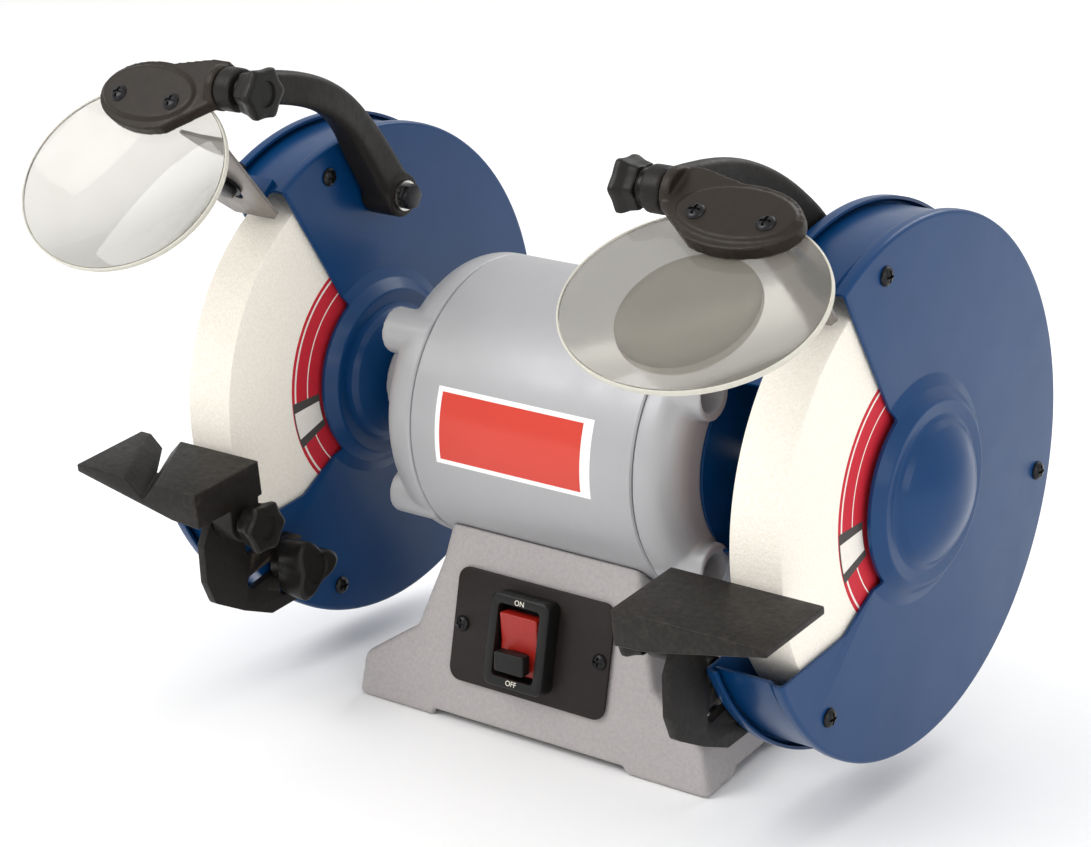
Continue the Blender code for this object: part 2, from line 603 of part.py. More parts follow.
def build_base():
    """The cast base: four feet, a skirt, a waisted pedestal with a saddle for the motor, and its fittings."""
    floor = -SHAFT_HEIGHT
    skirt = floor + SKIRT_HEIGHT
    top = -MOTOR_RADIUS * 0.55
    shoulder = skirt + 18.7 * MM
    waist_level = skirt + 0.655 * (top - skirt)
    levels = [
        (floor, BASE_HALF_WIDTH, BASE_HALF_DEPTH, BASE_WAIST),
        (skirt, BASE_HALF_WIDTH - 3.5 * MM, face_y(0), BASE_WAIST),
        (shoulder, PEDESTAL_HALF_WIDTH + 11 * MM, face_y(shoulder - skirt), 1 * MM),
        (waist_level, PEDESTAL_HALF_WIDTH, face_y(waist_level - skirt), 0.5 * MM),
        (top, PEDESTAL_HALF_WIDTH - 5 * MM, face_y(top - skirt), 0.2 * MM),
    ]
    rings = [[(x, y, z) for x, y in plan(width, depth, waist)] for z, width, depth, waist in levels]
    base = loft("base_pedestal", rings, GREY_CASTING)
    soften(base, 2.5 * MM, 2)
    boolean(base, disc("cut_saddle", MOTOR_RADIUS + GAP, -0.2, 0.2, None, steps=ROUND_STEPS))
    cavity = []
    for z, width, depth, waist in levels[:4]:
        low = floor - 1 * MM if z == floor else z
        inner_width = min(width, PEDESTAL_HALF_WIDTH + 8 * MM) - BASE_WALL
        cavity.append([(x, y, low) for x, y in plan(inner_width, depth - BASE_WALL, min(waist, 1 * MM))])
    boolean(base, loft("cut_cavity", cavity, None))
    wide = 2 * BASE_HALF_WIDTH
    low, high = floor - 5 * MM, floor + FOOT_RELIEF
    half_x, half_y = BASE_HALF_WIDTH - FOOT_LENGTH_X, BASE_HALF_DEPTH - FOOT_LENGTH_Y
    boolean(base, block("cut_relief_x", (-half_x, -wide, low), (half_x, wide, high), None))
    boolean(base, block("cut_relief_y", (-wide, -half_y, low), (wide, half_y, high), None))
    for i in range(4):
        x = (BASE_HALF_WIDTH - 17 * MM) * (1 if i % 2 else -1)
        y = (BASE_HALF_DEPTH - 14 * MM) * (1 if i > 1 else -1)
        boolean(base, disc("cut_bolt_hole_%d" % i, 4 * MM, -0.1, 0.1, None, location=(x, y, skirt), rotation=(0, 0, 0)))
    gland_z = skirt + 24 * MM
    gland_y = face_y(24 * MM)
    gland_x = PEDESTAL_HALF_WIDTH * 0.5
    barrel = 7 * MM
    boolean(base, disc("cut_gland", barrel + GAP, -0.02, 0.02, None, location=(gland_x, gland_y, gland_z),
                       rotation=(math.pi / 2, 0, 0)))
    gland = [(barrel, -BASE_WALL - 5 * MM), (4 * MM, -BASE_WALL - 5 * MM), (4 * MM, 16 * MM), (6.5 * MM, 16 * MM),
             (8 * MM, 6 * MM), (10.5 * MM, 5.5 * MM), (10.5 * MM, 2.6 * MM), (barrel, 2.6 * MM)]
    turned("cord_inlet", gland, BLACK_PLASTIC, steps=SMALL_STEPS, location=(gland_x, gland_y, gland_z),
           rotation=(-math.pi / 2, 0, 0))
    plate = [(x, y) for x, y in plan(PEDESTAL_HALF_WIDTH + 2 * MM, BASE_HALF_DEPTH - BASE_WALL - 2.5 * MM, 1 * MM)]
    flat("base_bottom_plate", plate, floor + 5 * MM, floor + 6.5 * MM, BARE_SHEET, rotation=(0, 0, 0))
    disc("capacitor", 16 * MM, -30 * MM, 30 * MM, BLACK_PLASTIC, steps=20, edge=1.5 * MM,
         location=(0, face_y(24 * MM) - 30 * MM, skirt + 22 * MM))
    build_switch(base, skirt)


# ---------------------------------------------------------------- switch

def build_switch(base, skirt):
    """Plate, housing, paddle and lock key on the sloping front: local X right, Y up the face, Z outward."""
    height = PLATE_HEIGHT / 2
    lean = math.degrees(math.atan(FACE_SLOPE))
    frame = empty("switch_frame", FRAME, (0, -face_y(height), skirt + height), 90 - lean)
    middle = empty("switch_middle", frame, (SWITCH_SHIFT, 0, 0), 0)
    flush = dict(rotation=(0, 0, 0), parent=frame)
    well_width, well_height = SWITCH_WIDTH - 4 * MM, SWITCH_HEIGHT - 4 * MM
    plate_back = 0.6 * MM
    plate_front = plate_back + PLATE_THICKNESS
    boolean(base, block("cut_switch_wall", (-well_width / 2 - 1 * MM, -well_height / 2 - 1 * MM, -15 * MM),
                        (well_width / 2 + 1 * MM, well_height / 2 + 1 * MM, 5 * MM), None, parent=middle))
    plate = flat("switch_plate", rounded_rectangle(PLATE_WIDTH, PLATE_HEIGHT, PLATE_CORNER), plate_back, plate_front,
                 BLACK_PLASTIC, **flush)
    boolean(plate, block("cut_plate_well", (-well_width / 2 - GAP, -well_height / 2 - GAP, -5 * MM),
                         (well_width / 2 + GAP, well_height / 2 + GAP, 5 * MM), None, parent=middle))
    front = plate_front + SWITCH_PROUD
    housing = flat("switch_housing", rounded_rectangle(SWITCH_WIDTH, SWITCH_HEIGHT, 3.5 * MM), plate_front + GAP,
                   front, BLACK_PLASTIC, rotation=(0, 0, 0), parent=middle)
    boolean(housing, block("join_switch_body", (-well_width / 2, -well_height / 2, -SWITCH_DEPTH),
                           (well_width / 2, well_height / 2, plate_front + 2 * MM), None, parent=middle), "UNION")
    pocket_width, pocket_height = SWITCH_WIDTH - 2 * SWITCH_WALL, SWITCH_HEIGHT - 2 * SWITCH_WALL
    boolean(housing, block("cut_switch_pocket", (-pocket_width / 2, -pocket_height / 2, -8 * MM),
                           (pocket_width / 2, pocket_height / 2, front + 5 * MM), None, parent=middle))
    hinge = empty("paddle_hinge", middle, (0, 0, 3 * MM), PADDLE_REST)
    half = pocket_height / 2 - 2.5 * MM
    rocker = [(-half, 6.5 * MM), (-half, 0), (0, -4 * MM), (half, 0), (half, 6.5 * MM), (0, 5 * MM)]
    width = pocket_width / 2 - 0.8 * MM
    paddle = flat("switch_paddle", rocker, -width, width, RED_PLASTIC, parent=hinge)
    key_y, key_half = -half * 0.5, 3.4 * MM
    boolean(paddle, block("cut_key_slot", (-5 * MM, key_y - key_half, 1.5 * MM), (5 * MM, key_y + key_half, 20 * MM),
                          None, parent=hinge))
    key = block("lock_key", (-5 * MM + GAP, key_y - key_half + GAP, 1.5 * MM + GAP),
                (5 * MM - GAP, key_y + key_half - GAP, 9 * MM), BLACK_PLASTIC, parent=hinge)
    grip = block("join_key_grip", (-8 * MM, key_y - 4.5 * MM, 7.5 * MM), (8 * MM, key_y + 4.5 * MM, 13 * MM), None,
                 parent=hinge)
    boolean(key, grip, "UNION")
    for side, sign in SIDE.items():
        head = [(0, plate_front + 2 * MM), (3 * MM, plate_front + 1.4 * MM), (3.6 * MM, plate_front + 0.6 * MM),
                (3.6 * MM, plate_front + GAP), (1.8 * MM, plate_front + GAP), (1.8 * MM, -3 * MM), (0, -3 * MM)]
        x = sign * (PLATE_WIDTH / 2 - 5 * MM)
        turned("switch_screw_" + side, head, STEEL, closed=False, steps=12, location=(x, 0, 0), **flush)
        hole = disc("cut_plate_screw_" + side, 1.8 * MM + GAP, -5 * MM, 5 * MM, None, location=(x, 0, 0), **flush)
        boolean(plate, hole)
        boolean(base, hole)


# ---------------------------------------------------------------- eye shields

def build_shield(side, sign):
    """Arm, lens holder, lens, clamp knob and pivot bolt; the arm turns on the guard and the lens on the arm."""
    arm_rise, lens_slope = SHIELD_POSE[side]
    pivot = empty("arm_pivot_" + side, FRAME, (0, *polar(GUARD_RADIUS - ARM_PIVOT_INSET, ARM_PIVOT_ANGLE)), -arm_rise)
    face = MOTOR_SIDE_FACE[side]
    foot = (face - 0.5 * MM - ARM_WIDTH, face - 0.5 * MM)
    eye = (EYE_X - EYE_WIDTH / 2, EYE_X + EYE_WIDTH / 2)
    rings = []
    count = 12
    for i in range(count + 1):
        u = i / count
        y = -ARM_LENGTH * u
        z = ARM_RISE * math.sin(math.pi * u)
        slope = math.atan2(ARM_RISE * math.pi * math.cos(math.pi * u), -ARM_LENGTH)
        normal = Vector((0, -math.sin(slope), math.cos(slope)))
        half = ARM_HEIGHT / 2 * (1.25 - 0.25 * min(1.0, 3 * u))
        blend = min(1.0, max(0.0, (u - 0.15) / 0.55))
        blend = blend * blend * (3 - 2 * blend)
        near = foot[0] + (eye[0] - foot[0]) * blend + 0.7 * MM
        far = foot[1] + (eye[1] - foot[1]) * blend - 0.7 * MM
        middle = Vector((0, y, z))
        chamfer = 2 * MM
        ring_points = []
        for x, h in ((near + chamfer, half), (near, half - chamfer), (near, chamfer - half), (near + chamfer, -half),
                     (far - chamfer, -half), (far, chamfer - half), (far, half - chamfer), (far - chamfer, half)):
            ring_points.append(middle + normal * h + Vector((sign * x, 0, 0)))
        rings.append(ring_points)
    arm = loft("shield_arm_" + side, rings, BLACK_CASTING, parent=pivot)
    eye_span = sorted((sign * eye[0], sign * eye[1]))
    boolean(arm, disc("join_eye_" + side, EYE_RADIUS, *eye_span, None, steps=20, edge=1 * MM, parent=pivot,
                      location=(0, -ARM_LENGTH, 0)), "UNION")
    foot_span = sorted((sign * foot[0], sign * foot[1]))
    boolean(arm, disc("join_arm_foot_" + side, ARM_HEIGHT * 0.68, *foot_span, None, steps=20, edge=1 * MM,
                      parent=pivot), "UNION")
    hole = STUD_RADIUS + 0.4 * MM
    boolean(arm, disc("cut_arm_eye_" + side, hole, *sorted((sign * 0.05, sign * 0.2)), None, parent=pivot,
                      location=(0, -ARM_LENGTH, 0)))
    boolean(arm, disc("cut_arm_foot_" + side, hole, *sorted((sign * 0.05, sign * 0.2)), None, parent=pivot))
    head = foot[0] - GAP
    bolt = [(0, face - GAP), (STUD_RADIUS, face - GAP), (STUD_RADIUS, head), (6.2 * MM, head),
            (6.2 * MM, head - 4.5 * MM), (5 * MM, head - 5.5 * MM), (0, head - 5.5 * MM)]
    turned("arm_bolt_" + side, [(r, sign * h) for r, h in bolt], STEEL, closed=False, steps=12, parent=FRAME, location=pivot.location)

    hinge = empty("lens_hinge_" + side, pivot, (0, -ARM_LENGTH, 0), arm_rise + lens_slope)
    flush = dict(rotation=(0, 0, 0), parent=hinge)
    ellipse = []
    for i in range(40):
        a = 2 * math.pi * i / 40
        ellipse.append((sign * LENS_X + LENS_HALF_WIDTH * math.cos(a), LENS_HALF_HEIGHT * math.sin(a) - LENS_REACH))
    half = LENS_THICKNESS / 2
    flat("lens_" + side, ellipse, -LENS_DROP - half, half - LENS_DROP, CLEAR_PLASTIC, **flush)
    neck = eye[1] + GAP
    outline = [(sign * neck, PAD_REACH), (sign * (neck + 10 * MM), PAD_REACH)]
    for i in range(13):
        a = math.radians(80 + 220 * i / 12)
        outline.append((sign * (LENS_X - PAD_HALF_WIDTH * math.cos(a)), PAD_HALF_HEIGHT * math.sin(a) - PAD_REACH))
    outline += [(sign * (neck + 1.5 * MM), -PAD_REACH)]
    pad_low = half - LENS_DROP + GAP
    holder = flat("lens_holder_" + side, outline, pad_low, pad_low + PAD_THICKNESS, BLACK_CASTING, **flush)
    collar = sorted((sign * neck, sign * (neck + 4.5 * MM)))
    boolean(holder, disc("join_collar_" + side, PAD_REACH - 0.5 * MM, *collar, None, steps=20, parent=hinge), "UNION")
    boolean(holder, disc("cut_collar_" + side, hole, *sorted((sign * 0.05, sign * (neck + 4.2 * MM))), None,
                         parent=hinge))
    build_knob("shield_knob_" + side, sign, eye[0] - GAP, neck + 3.7 * MM, SMALL_KNOB_RADIUS, 3 * MM, pivot,
               (0, -ARM_LENGTH, 0))


def build_knob(name, sign, seat, stud_end, radius, collar, parent, location):
    """A lobed hand knob on a stud; it sits against the plane x = seat and faces the motor."""
    thickness = radius * 0.85
    knob = flat(name, lobed_outline(radius, radius * 0.22), *sorted((sign * (seat - collar - thickness), sign * (seat - collar))),
                BLACK_PLASTIC, parent=parent, location=location)
    soften(knob, 1.5 * MM)
    boolean(knob, disc("join_collar_" + name, radius * 0.58, *sorted((sign * seat, sign * (seat - collar - 1 * MM))), None,
                       parent=parent, location=location), "UNION")
    boolean(knob, disc("join_stud_" + name, STUD_RADIUS, *sorted((sign * stud_end, sign * (seat - collar))), None,
                       parent=parent, location=location), "UNION")


# ---------------------------------------------------------------- tool rests

def build_rest(side, sign):
    """Bracket with two slots, tapered rest with a lug, and the two knobs that clamp them."""
    face = MOTOR_SIDE_FACE[side]
    plate_far, plate_near = face - 0.5 * MM, face - 0.5 * MM - BRACKET_THICKNESS
    pivot_y, pivot_z = BRACKET_PIVOT
    bolt_y, bolt_z = BRACKET_BOLT
    front = pivot_y - 14 * MM
    lobe = 8.5 * MM
    outline = [(front, pivot_z - 10 * MM), (front + 1 * MM, pivot_z - 28 * MM), (front + 6 * MM, pivot_z - 39 * MM),
               (front + 24 * MM, pivot_z - 48 * MM), (bolt_y - 8 * MM, bolt_z - 24 * MM), (bolt_y + 10 * MM, bolt_z - 22 * MM),
               (bolt_y + 17 * MM, bolt_z - 8 * MM), (bolt_y + 16 * MM, bolt_z + 6 * MM), (bolt_y + 6 * MM, bolt_z + 11 * MM),
               (bolt_y - 8 * MM, bolt_z + 9 * MM), (pivot_y + 13 * MM, pivot_z - 23 * MM), (pivot_y + 10 * MM, pivot_z)]
    outline += arc((pivot_y, pivot_z), lobe, 20, 160, 8)
    span = sorted((sign * plate_near, sign * plate_far))
    slide = empty("bracket_slide_" + side, FRAME)
    bracket = flat("rest_bracket_" + side, outline, *span, BLACK_CASTING, parent=slide)
    through = sorted((sign * (plate_near - REST_LUG[side] - 10 * MM), sign * (plate_far + 10 * MM)))
    length, slope = BRACKET_SLOT
    lower = (bolt_y + 9 * MM, bolt_z - 12 * MM)
    for i, centre in enumerate(((bolt_y - 2 * MM, bolt_z - 0.5 * MM), lower)):
        slot_length = length if i == 0 else length * 0.55
        slot = flat("cut_slot_%s_%d" % (side, i), slot_outline(centre, slot_length, 7 * MM, slope),
                    *through, None, parent=slide)
        boolean(bracket, slot)
    hole = STUD_RADIUS + 0.4 * MM
    boolean(bracket, disc("cut_tilt_" + side, hole, *through, None, parent=slide,
                          location=(0, pivot_y, pivot_z)))

    tilt = empty("rest_tilt_" + side, slide, (0, pivot_y, pivot_z))
    lug_far = plate_near - GAP
    lug_near = lug_far - REST_LUG[side]
    table = empty("rest_table_" + side, tilt, (0, -(WHEEL_RADIUS + REST_GAP) - pivot_y, REST_TOP - pivot_z), REST_SLOPE)
    tip = lug_near + REST_WIDTH
    section = [(sign * lug_near, 0), (sign * tip, 0), (sign * tip, -REST_TIP), (sign * (lug_near + 16 * MM), 1 * MM - REST_ROOT),
               (sign * lug_near, -REST_ROOT)]
    rest = flat("tool_rest_" + side, section, 0, REST_DEPTH, BLACK_CASTING, rotation=IN_XZ, parent=table)
    soften(rest, 0.8 * MM)
    lug_height = REST_TOP - pivot_z - REST_ROOT / 2
    lug_points = arc((0, 0), 9 * MM, 180, 360, 9) + [(9 * MM, lug_height), (-9 * MM, lug_height)]
    boolean(rest, flat("join_lug_rest_" + side, lug_points, *sorted((sign * lug_near, sign * lug_far)), None,
                       parent=tilt), "UNION")
    boolean(rest, disc("cut_rest_hole_" + side, hole, *through, None, parent=tilt))
    if side == "left":
        half = GROOVE_WIDTH / 2
        vee = [(-half, 1 * MM), (0, -half), (half, 1 * MM)]
        groove = flat("cut_groove", vee, -0.06, 0.06, None, rotation=IN_XZ, parent=table,
                      location=(sign * (lug_near + REST_WIDTH * 0.62), -REST_DEPTH / 2, 0))
        groove.rotation_euler = (math.pi / 2, 0, math.radians(GROOVE_SLANT))
        boolean(rest, groove)
    build_knob("rest_knob_" + side, sign, lug_near - GAP, plate_far - GAP, SMALL_KNOB_RADIUS, 3 * MM, tilt, (0, 0, 0))
    build_knob("bracket_knob_" + side, sign, plate_near - GAP, face + SHEET + 1 * MM, KNOB_RADIUS, 5 * MM, FRAME,
               (0, bolt_y, bolt_z))


build_rotor()
for side_name, side_sign in SIDE.items():
    guard_cover(side_name, side_sign)
    guard_back(side_name, side_sign)
    build_arrestor(side_name)
build_motor()
build_base()
for side_name, side_sign in SIDE.items():
    build_shield(side_name, side_sign)
    build_rest(side_name, side_sign)
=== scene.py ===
"""Visual model of an eight inch bench grinder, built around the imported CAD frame.

The shaft runs along X, the user stands on the -Y side and +Z is up. Every length is in metres.
"""

from __future__ import annotations

import json
import logging
import math
from dataclasses import dataclass, field
from enum import Enum
from typing import Callable, Sequence

import bmesh
import bpy
from mathutils import Matrix, Vector

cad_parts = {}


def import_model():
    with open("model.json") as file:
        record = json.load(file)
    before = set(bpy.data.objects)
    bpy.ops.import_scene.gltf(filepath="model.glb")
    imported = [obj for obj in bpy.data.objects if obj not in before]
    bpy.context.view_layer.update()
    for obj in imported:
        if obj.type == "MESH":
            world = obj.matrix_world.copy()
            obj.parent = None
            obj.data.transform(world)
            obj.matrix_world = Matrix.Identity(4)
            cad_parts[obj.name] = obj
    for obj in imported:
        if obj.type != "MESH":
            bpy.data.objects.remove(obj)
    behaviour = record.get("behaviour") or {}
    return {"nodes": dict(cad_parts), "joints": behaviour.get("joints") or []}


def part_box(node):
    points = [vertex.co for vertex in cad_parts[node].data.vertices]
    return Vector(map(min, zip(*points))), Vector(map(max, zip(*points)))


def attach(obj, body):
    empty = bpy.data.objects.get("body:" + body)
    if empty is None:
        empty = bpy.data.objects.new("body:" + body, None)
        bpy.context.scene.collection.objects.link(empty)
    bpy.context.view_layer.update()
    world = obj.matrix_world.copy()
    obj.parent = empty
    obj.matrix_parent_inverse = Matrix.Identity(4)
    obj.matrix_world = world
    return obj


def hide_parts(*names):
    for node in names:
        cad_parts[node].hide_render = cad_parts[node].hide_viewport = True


LOG = logging.getLogger("bench_grinder")
MM = 0.001
THROUGH = 300 * MM  # how far a cutter runs, past everything that it cuts
STUD_HOLE = 3.4 * MM  # radius of the holes that studs and pivot bolts pass

Point = tuple[float, float]
Point3 = tuple[float, float, float]


class Side(Enum):
    """The two ends of the grinder, seen by its user; the value is the sign of X."""

    LEFT = -1
    RIGHT = 1

    @property
    def label(self) -> str:
        """The side's name as the frame's nodes and bodies end with it."""
        return self.name.lower()


class Fit(Enum):
    """How a tool is combined with a solid."""

    CUT = "DIFFERENCE"
    JOIN = "UNION"
    KEEP = "INTERSECT"


# ------------------------------------------------------------------ materials


def linear(hex_colour: str) -> tuple[float, float, float, float]:
    """Turn an sRGB hex colour to linear RGBA.

    Args:
        hex_colour: Six hex digits after a hash.

    Returns:
        Linear red, green, blue and an alpha of one.
    """
    values = [int(hex_colour[i : i + 2], 16) / 255 for i in (1, 3, 5)]
    red, green, blue = (v / 12.92 if v <= 0.04045 else ((v + 0.055) / 1.055) ** 2.4 for v in values)
    return red, green, blue, 1.0


def add_node(tree: bpy.types.NodeTree, kind: str, settings: dict | None = None, **links) -> bpy.types.Node:
    """Add a node with its settings, input values and links.

    Args:
        tree: The node tree to add to.
        kind: The node's type name.
        settings: Attributes of the node, set before its inputs.
        **links: An input's name, with underscores for spaces, or i and its number. The value is a socket, a
            list of sockets or a plain value.

    Returns:
        The new node.
    """
    node = tree.nodes.new(kind)
    for name, value in (settings or {}).items():
        setattr(node, name, value)
    for name, value in links.items():
        key = int(name[1:]) if name[0] == "i" and name[1:].isdigit() else name.replace("_", " ")
        for one in value if isinstance(value, list) else [value]:
            if isinstance(one, bpy.types.NodeSocket):
                tree.links.new(one, node.inputs[key])
            else:
                node.inputs[key].default_value = one
    return node


@dataclass(frozen=True)
class Finish:
    """One material: a Principled surface with mottled colour, uneven gloss and a fine bumpy skin.

    The lengths are real sizes in millimetres.
    """

    name: str
    colour: str
    second_colour: str
    roughness: float
    roughness_spread: float = 0.06
    metallic: float = 0.0
    ior: float = 1.5
    coat: float = 0.0
    coat_roughness: float = 0.08
    sheen: float = 0.0
    mottle_mm: float = 20.0
    mottle_share: float = 0.5
    grain_mm: float = 1.0
    grain_height_mm: float = 0.05
    wave_mm: float = 0.0
    wave_height_mm: float = 0.0
    brushed: Point3 = (1.0, 1.0, 1.0)
    transmission: float = 0.0
    worn_colour: str = ""

    def noise(self, tree: bpy.types.NodeTree, place: bpy.types.NodeSocket, size_mm: float,
              detail: float) -> bpy.types.Node:
        """A noise whose lumps are size_mm across."""
        return add_node(tree, "ShaderNodeTexNoise", None, Vector=place, Scale=1 / (size_mm * MM),
                        Detail=detail, Roughness=0.6)

    def mottled(self, tree: bpy.types.NodeTree, place: bpy.types.NodeSocket) -> bpy.types.NodeSocket:
        """The surface colour, drifting between the two colours.

        Args:
            tree: The node tree to add to.
            place: The socket with the stretched object coordinates.

        Returns:
            The colour's socket.
        """
        drift = self.noise(tree, place, self.mottle_mm, 4.0)
        share = add_node(tree, "ShaderNodeMapRange", None, Value=drift.outputs["Fac"], From_Min=0.3,
                         From_Max=0.7,
                         To_Min=0.0, To_Max=self.mottle_share)
        mix = add_node(tree, "ShaderNodeMix", {"data_type": "RGBA"}, i0=share.outputs[0],
                       i6=linear(self.colour),
                       i7=linear(self.second_colour))
        if not self.worn_colour:
            return mix.outputs[2]
        edge = add_node(tree, "ShaderNodeNewGeometry")
        patches = self.noise(tree, place, 2.5, 3.0)
        uneven = add_node(tree, "ShaderNodeMath", {"operation": "MULTIPLY_ADD"}, i0=patches.outputs["Fac"],
                          i1=0.12,
                          i2=edge.outputs["Pointiness"])
        wear = add_node(tree, "ShaderNodeMapRange", None, Value=uneven.outputs[0], From_Min=0.60,
                        From_Max=0.68,
                        To_Min=0.0, To_Max=0.55)
        worn = add_node(tree, "ShaderNodeMix", {"data_type": "RGBA"}, i0=wear.outputs[0], i6=mix.outputs[2],
                        i7=linear(self.worn_colour))
        return worn.outputs[2]

    def skin(self, tree: bpy.types.NodeTree, place: bpy.types.NodeSocket) -> bpy.types.NodeSocket:
        """The surface's normal: fine grain on top of slow waves.

        Args:
            tree: The node tree to add to.
            place: The socket with the stretched object coordinates.

        Returns:
            The normal's socket, or nothing for a smooth surface.
        """
        normal = None
        for size, height, detail in ((self.wave_mm, self.wave_height_mm, 1.0),
                                     (self.grain_mm, self.grain_height_mm, 3.0)):
            if not size or not height:
                continue
            lumps = self.noise(tree, place, size, detail)
            links = {"Height": lumps.outputs["Fac"], "Distance": height * MM, "Strength": 1.0}
            if normal is not None:
                links["Normal"] = normal
            normal = add_node(tree, "ShaderNodeBump", None, **links).outputs["Normal"]
        return normal

    def build(self) -> bpy.types.Material:
        """Make the material, once.

        Returns:
            The material.
        """
        found = bpy.data.materials.get(self.name)
        if found:
            return found
        material = bpy.data.materials.new(self.name)
        material.use_nodes = True
        tree = material.node_tree
        shader = tree.nodes["Principled BSDF"]
        for socket, value in (("Metallic", self.metallic), ("IOR", self.ior), ("Coat Weight", self.coat),
                              ("Coat Roughness", self.coat_roughness), ("Sheen Weight", self.sheen),
                              ("Transmission Weight", self.transmission)):
            shader.inputs[socket].default_value = value
        coordinates = add_node(tree, "ShaderNodeTexCoord")
        stretch = add_node(tree, "ShaderNodeMapping", None, Vector=coordinates.outputs["Object"],
                           Scale=self.brushed)
        place = stretch.outputs[0]
        tree.links.new(self.mottled(tree, place), shader.inputs["Base Color"])
        gloss = self.noise(tree, place, self.mottle_mm * 0.37, 5.0)
        rough = add_node(tree, "ShaderNodeMapRange", None, Value=gloss.outputs["Fac"], From_Min=0.3,
                         From_Max=0.7,
                         To_Min=self.roughness - self.roughness_spread,
                         To_Max=self.roughness + self.roughness_spread)
        tree.links.new(rough.outputs[0], shader.inputs["Roughness"])
        normal = self.skin(tree, place)
        if normal is not None:
            tree.links.new(normal, shader.inputs["Normal"])
        return material


@dataclass(frozen=True)
class AbrasiveStone(Finish):
    """Vitrified white aluminium oxide: packed grits with open pores between them."""

    grit_mm: float = 1.1

    def skin(self, tree: bpy.types.NodeTree, place: bpy.types.NodeSocket) -> bpy.types.NodeSocket:
        """Grits as cells, with a finer noise in them.

        Args:
            tree: The node tree to add to.
            place: The socket with the stretched object coordinates.

        Returns:
            The normal's socket.
        """
        cells = add_node(tree, "ShaderNodeTexVoronoi", {"feature": "F1"}, Vector=place,
                         Scale=1 / (self.grit_mm * MM))
        first = add_node(tree, "ShaderNodeBump", None, Height=cells.outputs["Distance"], Distance=0.16 * MM,
                         Strength=0.8)
        fine = self.noise(tree, place, 0.8, 4.0)
        second = add_node(tree, "ShaderNodeBump", None, Height=fine.outputs["Fac"], Distance=0.2 * MM,
                          Strength=0.8,
                          Normal=first.outputs["Normal"])
        return second.outputs["Normal"]


# Baked enamel on pressed steel: deep colour under a clear gloss, with a faint orange peel.
BLUE_ENAMEL = Finish("blue_baked_enamel", "#003868", "#00305C", 0.34, 0.05, ior=1.34, coat=0.12,
                     coat_roughness=0.14,
                     mottle_mm=60, grain_mm=0.7, grain_height_mm=0.004, wave_mm=5.0, wave_height_mm=0.02)
# Aluminium flake paint on the motor: satin, slightly metallic, with a fine sparkle.
MOTOR_PAINT = Finish("silver_grey_flake_paint", "#AAAAAC", "#A2A2A4", 0.44, 0.05, metallic=0.15, coat=0.10,
                     coat_roughness=0.15, mottle_mm=30, grain_mm=0.8, grain_height_mm=0.008, wave_mm=7.0,
                     wave_height_mm=0.02)
# Hammered powder coat on the cast base: matt, with a fine pebbled skin.
TEXTURED_PAINT = Finish("grey_textured_powder_coat", "#ABA6A5", "#9C9796", 0.58, 0.07, mottle_mm=1.6,
                        mottle_share=0.8, grain_mm=1.3, grain_height_mm=0.16)
# White aluminium oxide: dry, chalky and open-pored.
STONE = AbrasiveStone("white_aluminium_oxide", "#FBF6EC", "#EBE2D2", 0.92, 0.04, mottle_mm=1.2,
                      mottle_share=0.7)
# Blotter paper glued to the wheel: matt printed card.
LABEL_RED = Finish("red_blotter_paper", "#C81C30", "#BC182A", 0.72, 0.05, mottle_mm=3, grain_mm=0.4,
                   grain_height_mm=0.02)
LABEL_WHITE = Finish("white_blotter_paper", "#F3EEE6", "#E9E2D8", 0.75, 0.05, mottle_mm=3, grain_mm=0.4,
                     grain_height_mm=0.02)
LABEL_GREY = Finish("grey_blotter_paper", "#4A4644", "#3E3A39", 0.75, 0.05, mottle_mm=3, grain_mm=0.4,
                    grain_height_mm=0.02)
# Vinyl sticker on the motor: smooth printed film.
STICKER_RED = Finish("red_vinyl_film", "#CE3018", "#C92D16", 0.35, 0.03, coat=0.3, mottle_mm=30, grain_mm=2,
                     grain_height_mm=0.004)
STICKER_WHITE = Finish("white_vinyl_film", "#F7F7F5", "#F1F1EE", 0.35, 0.03, coat=0.3, mottle_mm=30,
                       grain_mm=2,
                       grain_height_mm=0.004)
# Black paint on sand-cast iron: a warm dark satin over a lumpy skin, rubbed lighter on the edges.
CAST_BLACK = Finish("black_painted_cast_iron", "#1A1714", "#100F0D", 0.46, 0.08, ior=1.32,
                    mottle_mm=9, grain_mm=0.9, grain_height_mm=0.07, wave_mm=4.0, wave_height_mm=0.15,
                    worn_colour="#4A4239")
HOLDER_BROWN = Finish("brown_black_painted_casting", "#271F17", "#1A1510", 0.44, 0.08, ior=1.34,
                      mottle_mm=7, grain_mm=0.8, grain_height_mm=0.06, wave_mm=4.0, wave_height_mm=0.1,
                      worn_colour="#5A4C3E")
# Moulded black phenolic: hard, satin, with a slight flow waviness.
BLACK_PHENOLIC = Finish("black_moulded_phenolic", "#14120F", "#0D0C0A", 0.40, 0.07, ior=1.34, mottle_mm=8,
                        grain_mm=0.6,
                        grain_height_mm=0.02, wave_mm=5, wave_height_mm=0.06)
# Pressed steel switch plate in brown-black crackle paint.
PLATE_PAINT = Finish("brown_black_plate_paint", "#231D1B", "#1B1715", 0.52, 0.06, ior=1.33, mottle_mm=6,
                     grain_mm=0.7,
                     grain_height_mm=0.04)
# Moulded nylon switch parts.
RED_NYLON = Finish("red_moulded_nylon", "#9E1C12", "#8E180F", 0.38, 0.05, mottle_mm=5, grain_mm=0.5,
                   grain_height_mm=0.015)
BLACK_NYLON = Finish("black_moulded_nylon", "#151413", "#100F0F", 0.42, 0.05, ior=1.36, mottle_mm=5,
                     grain_mm=0.5, grain_height_mm=0.015)
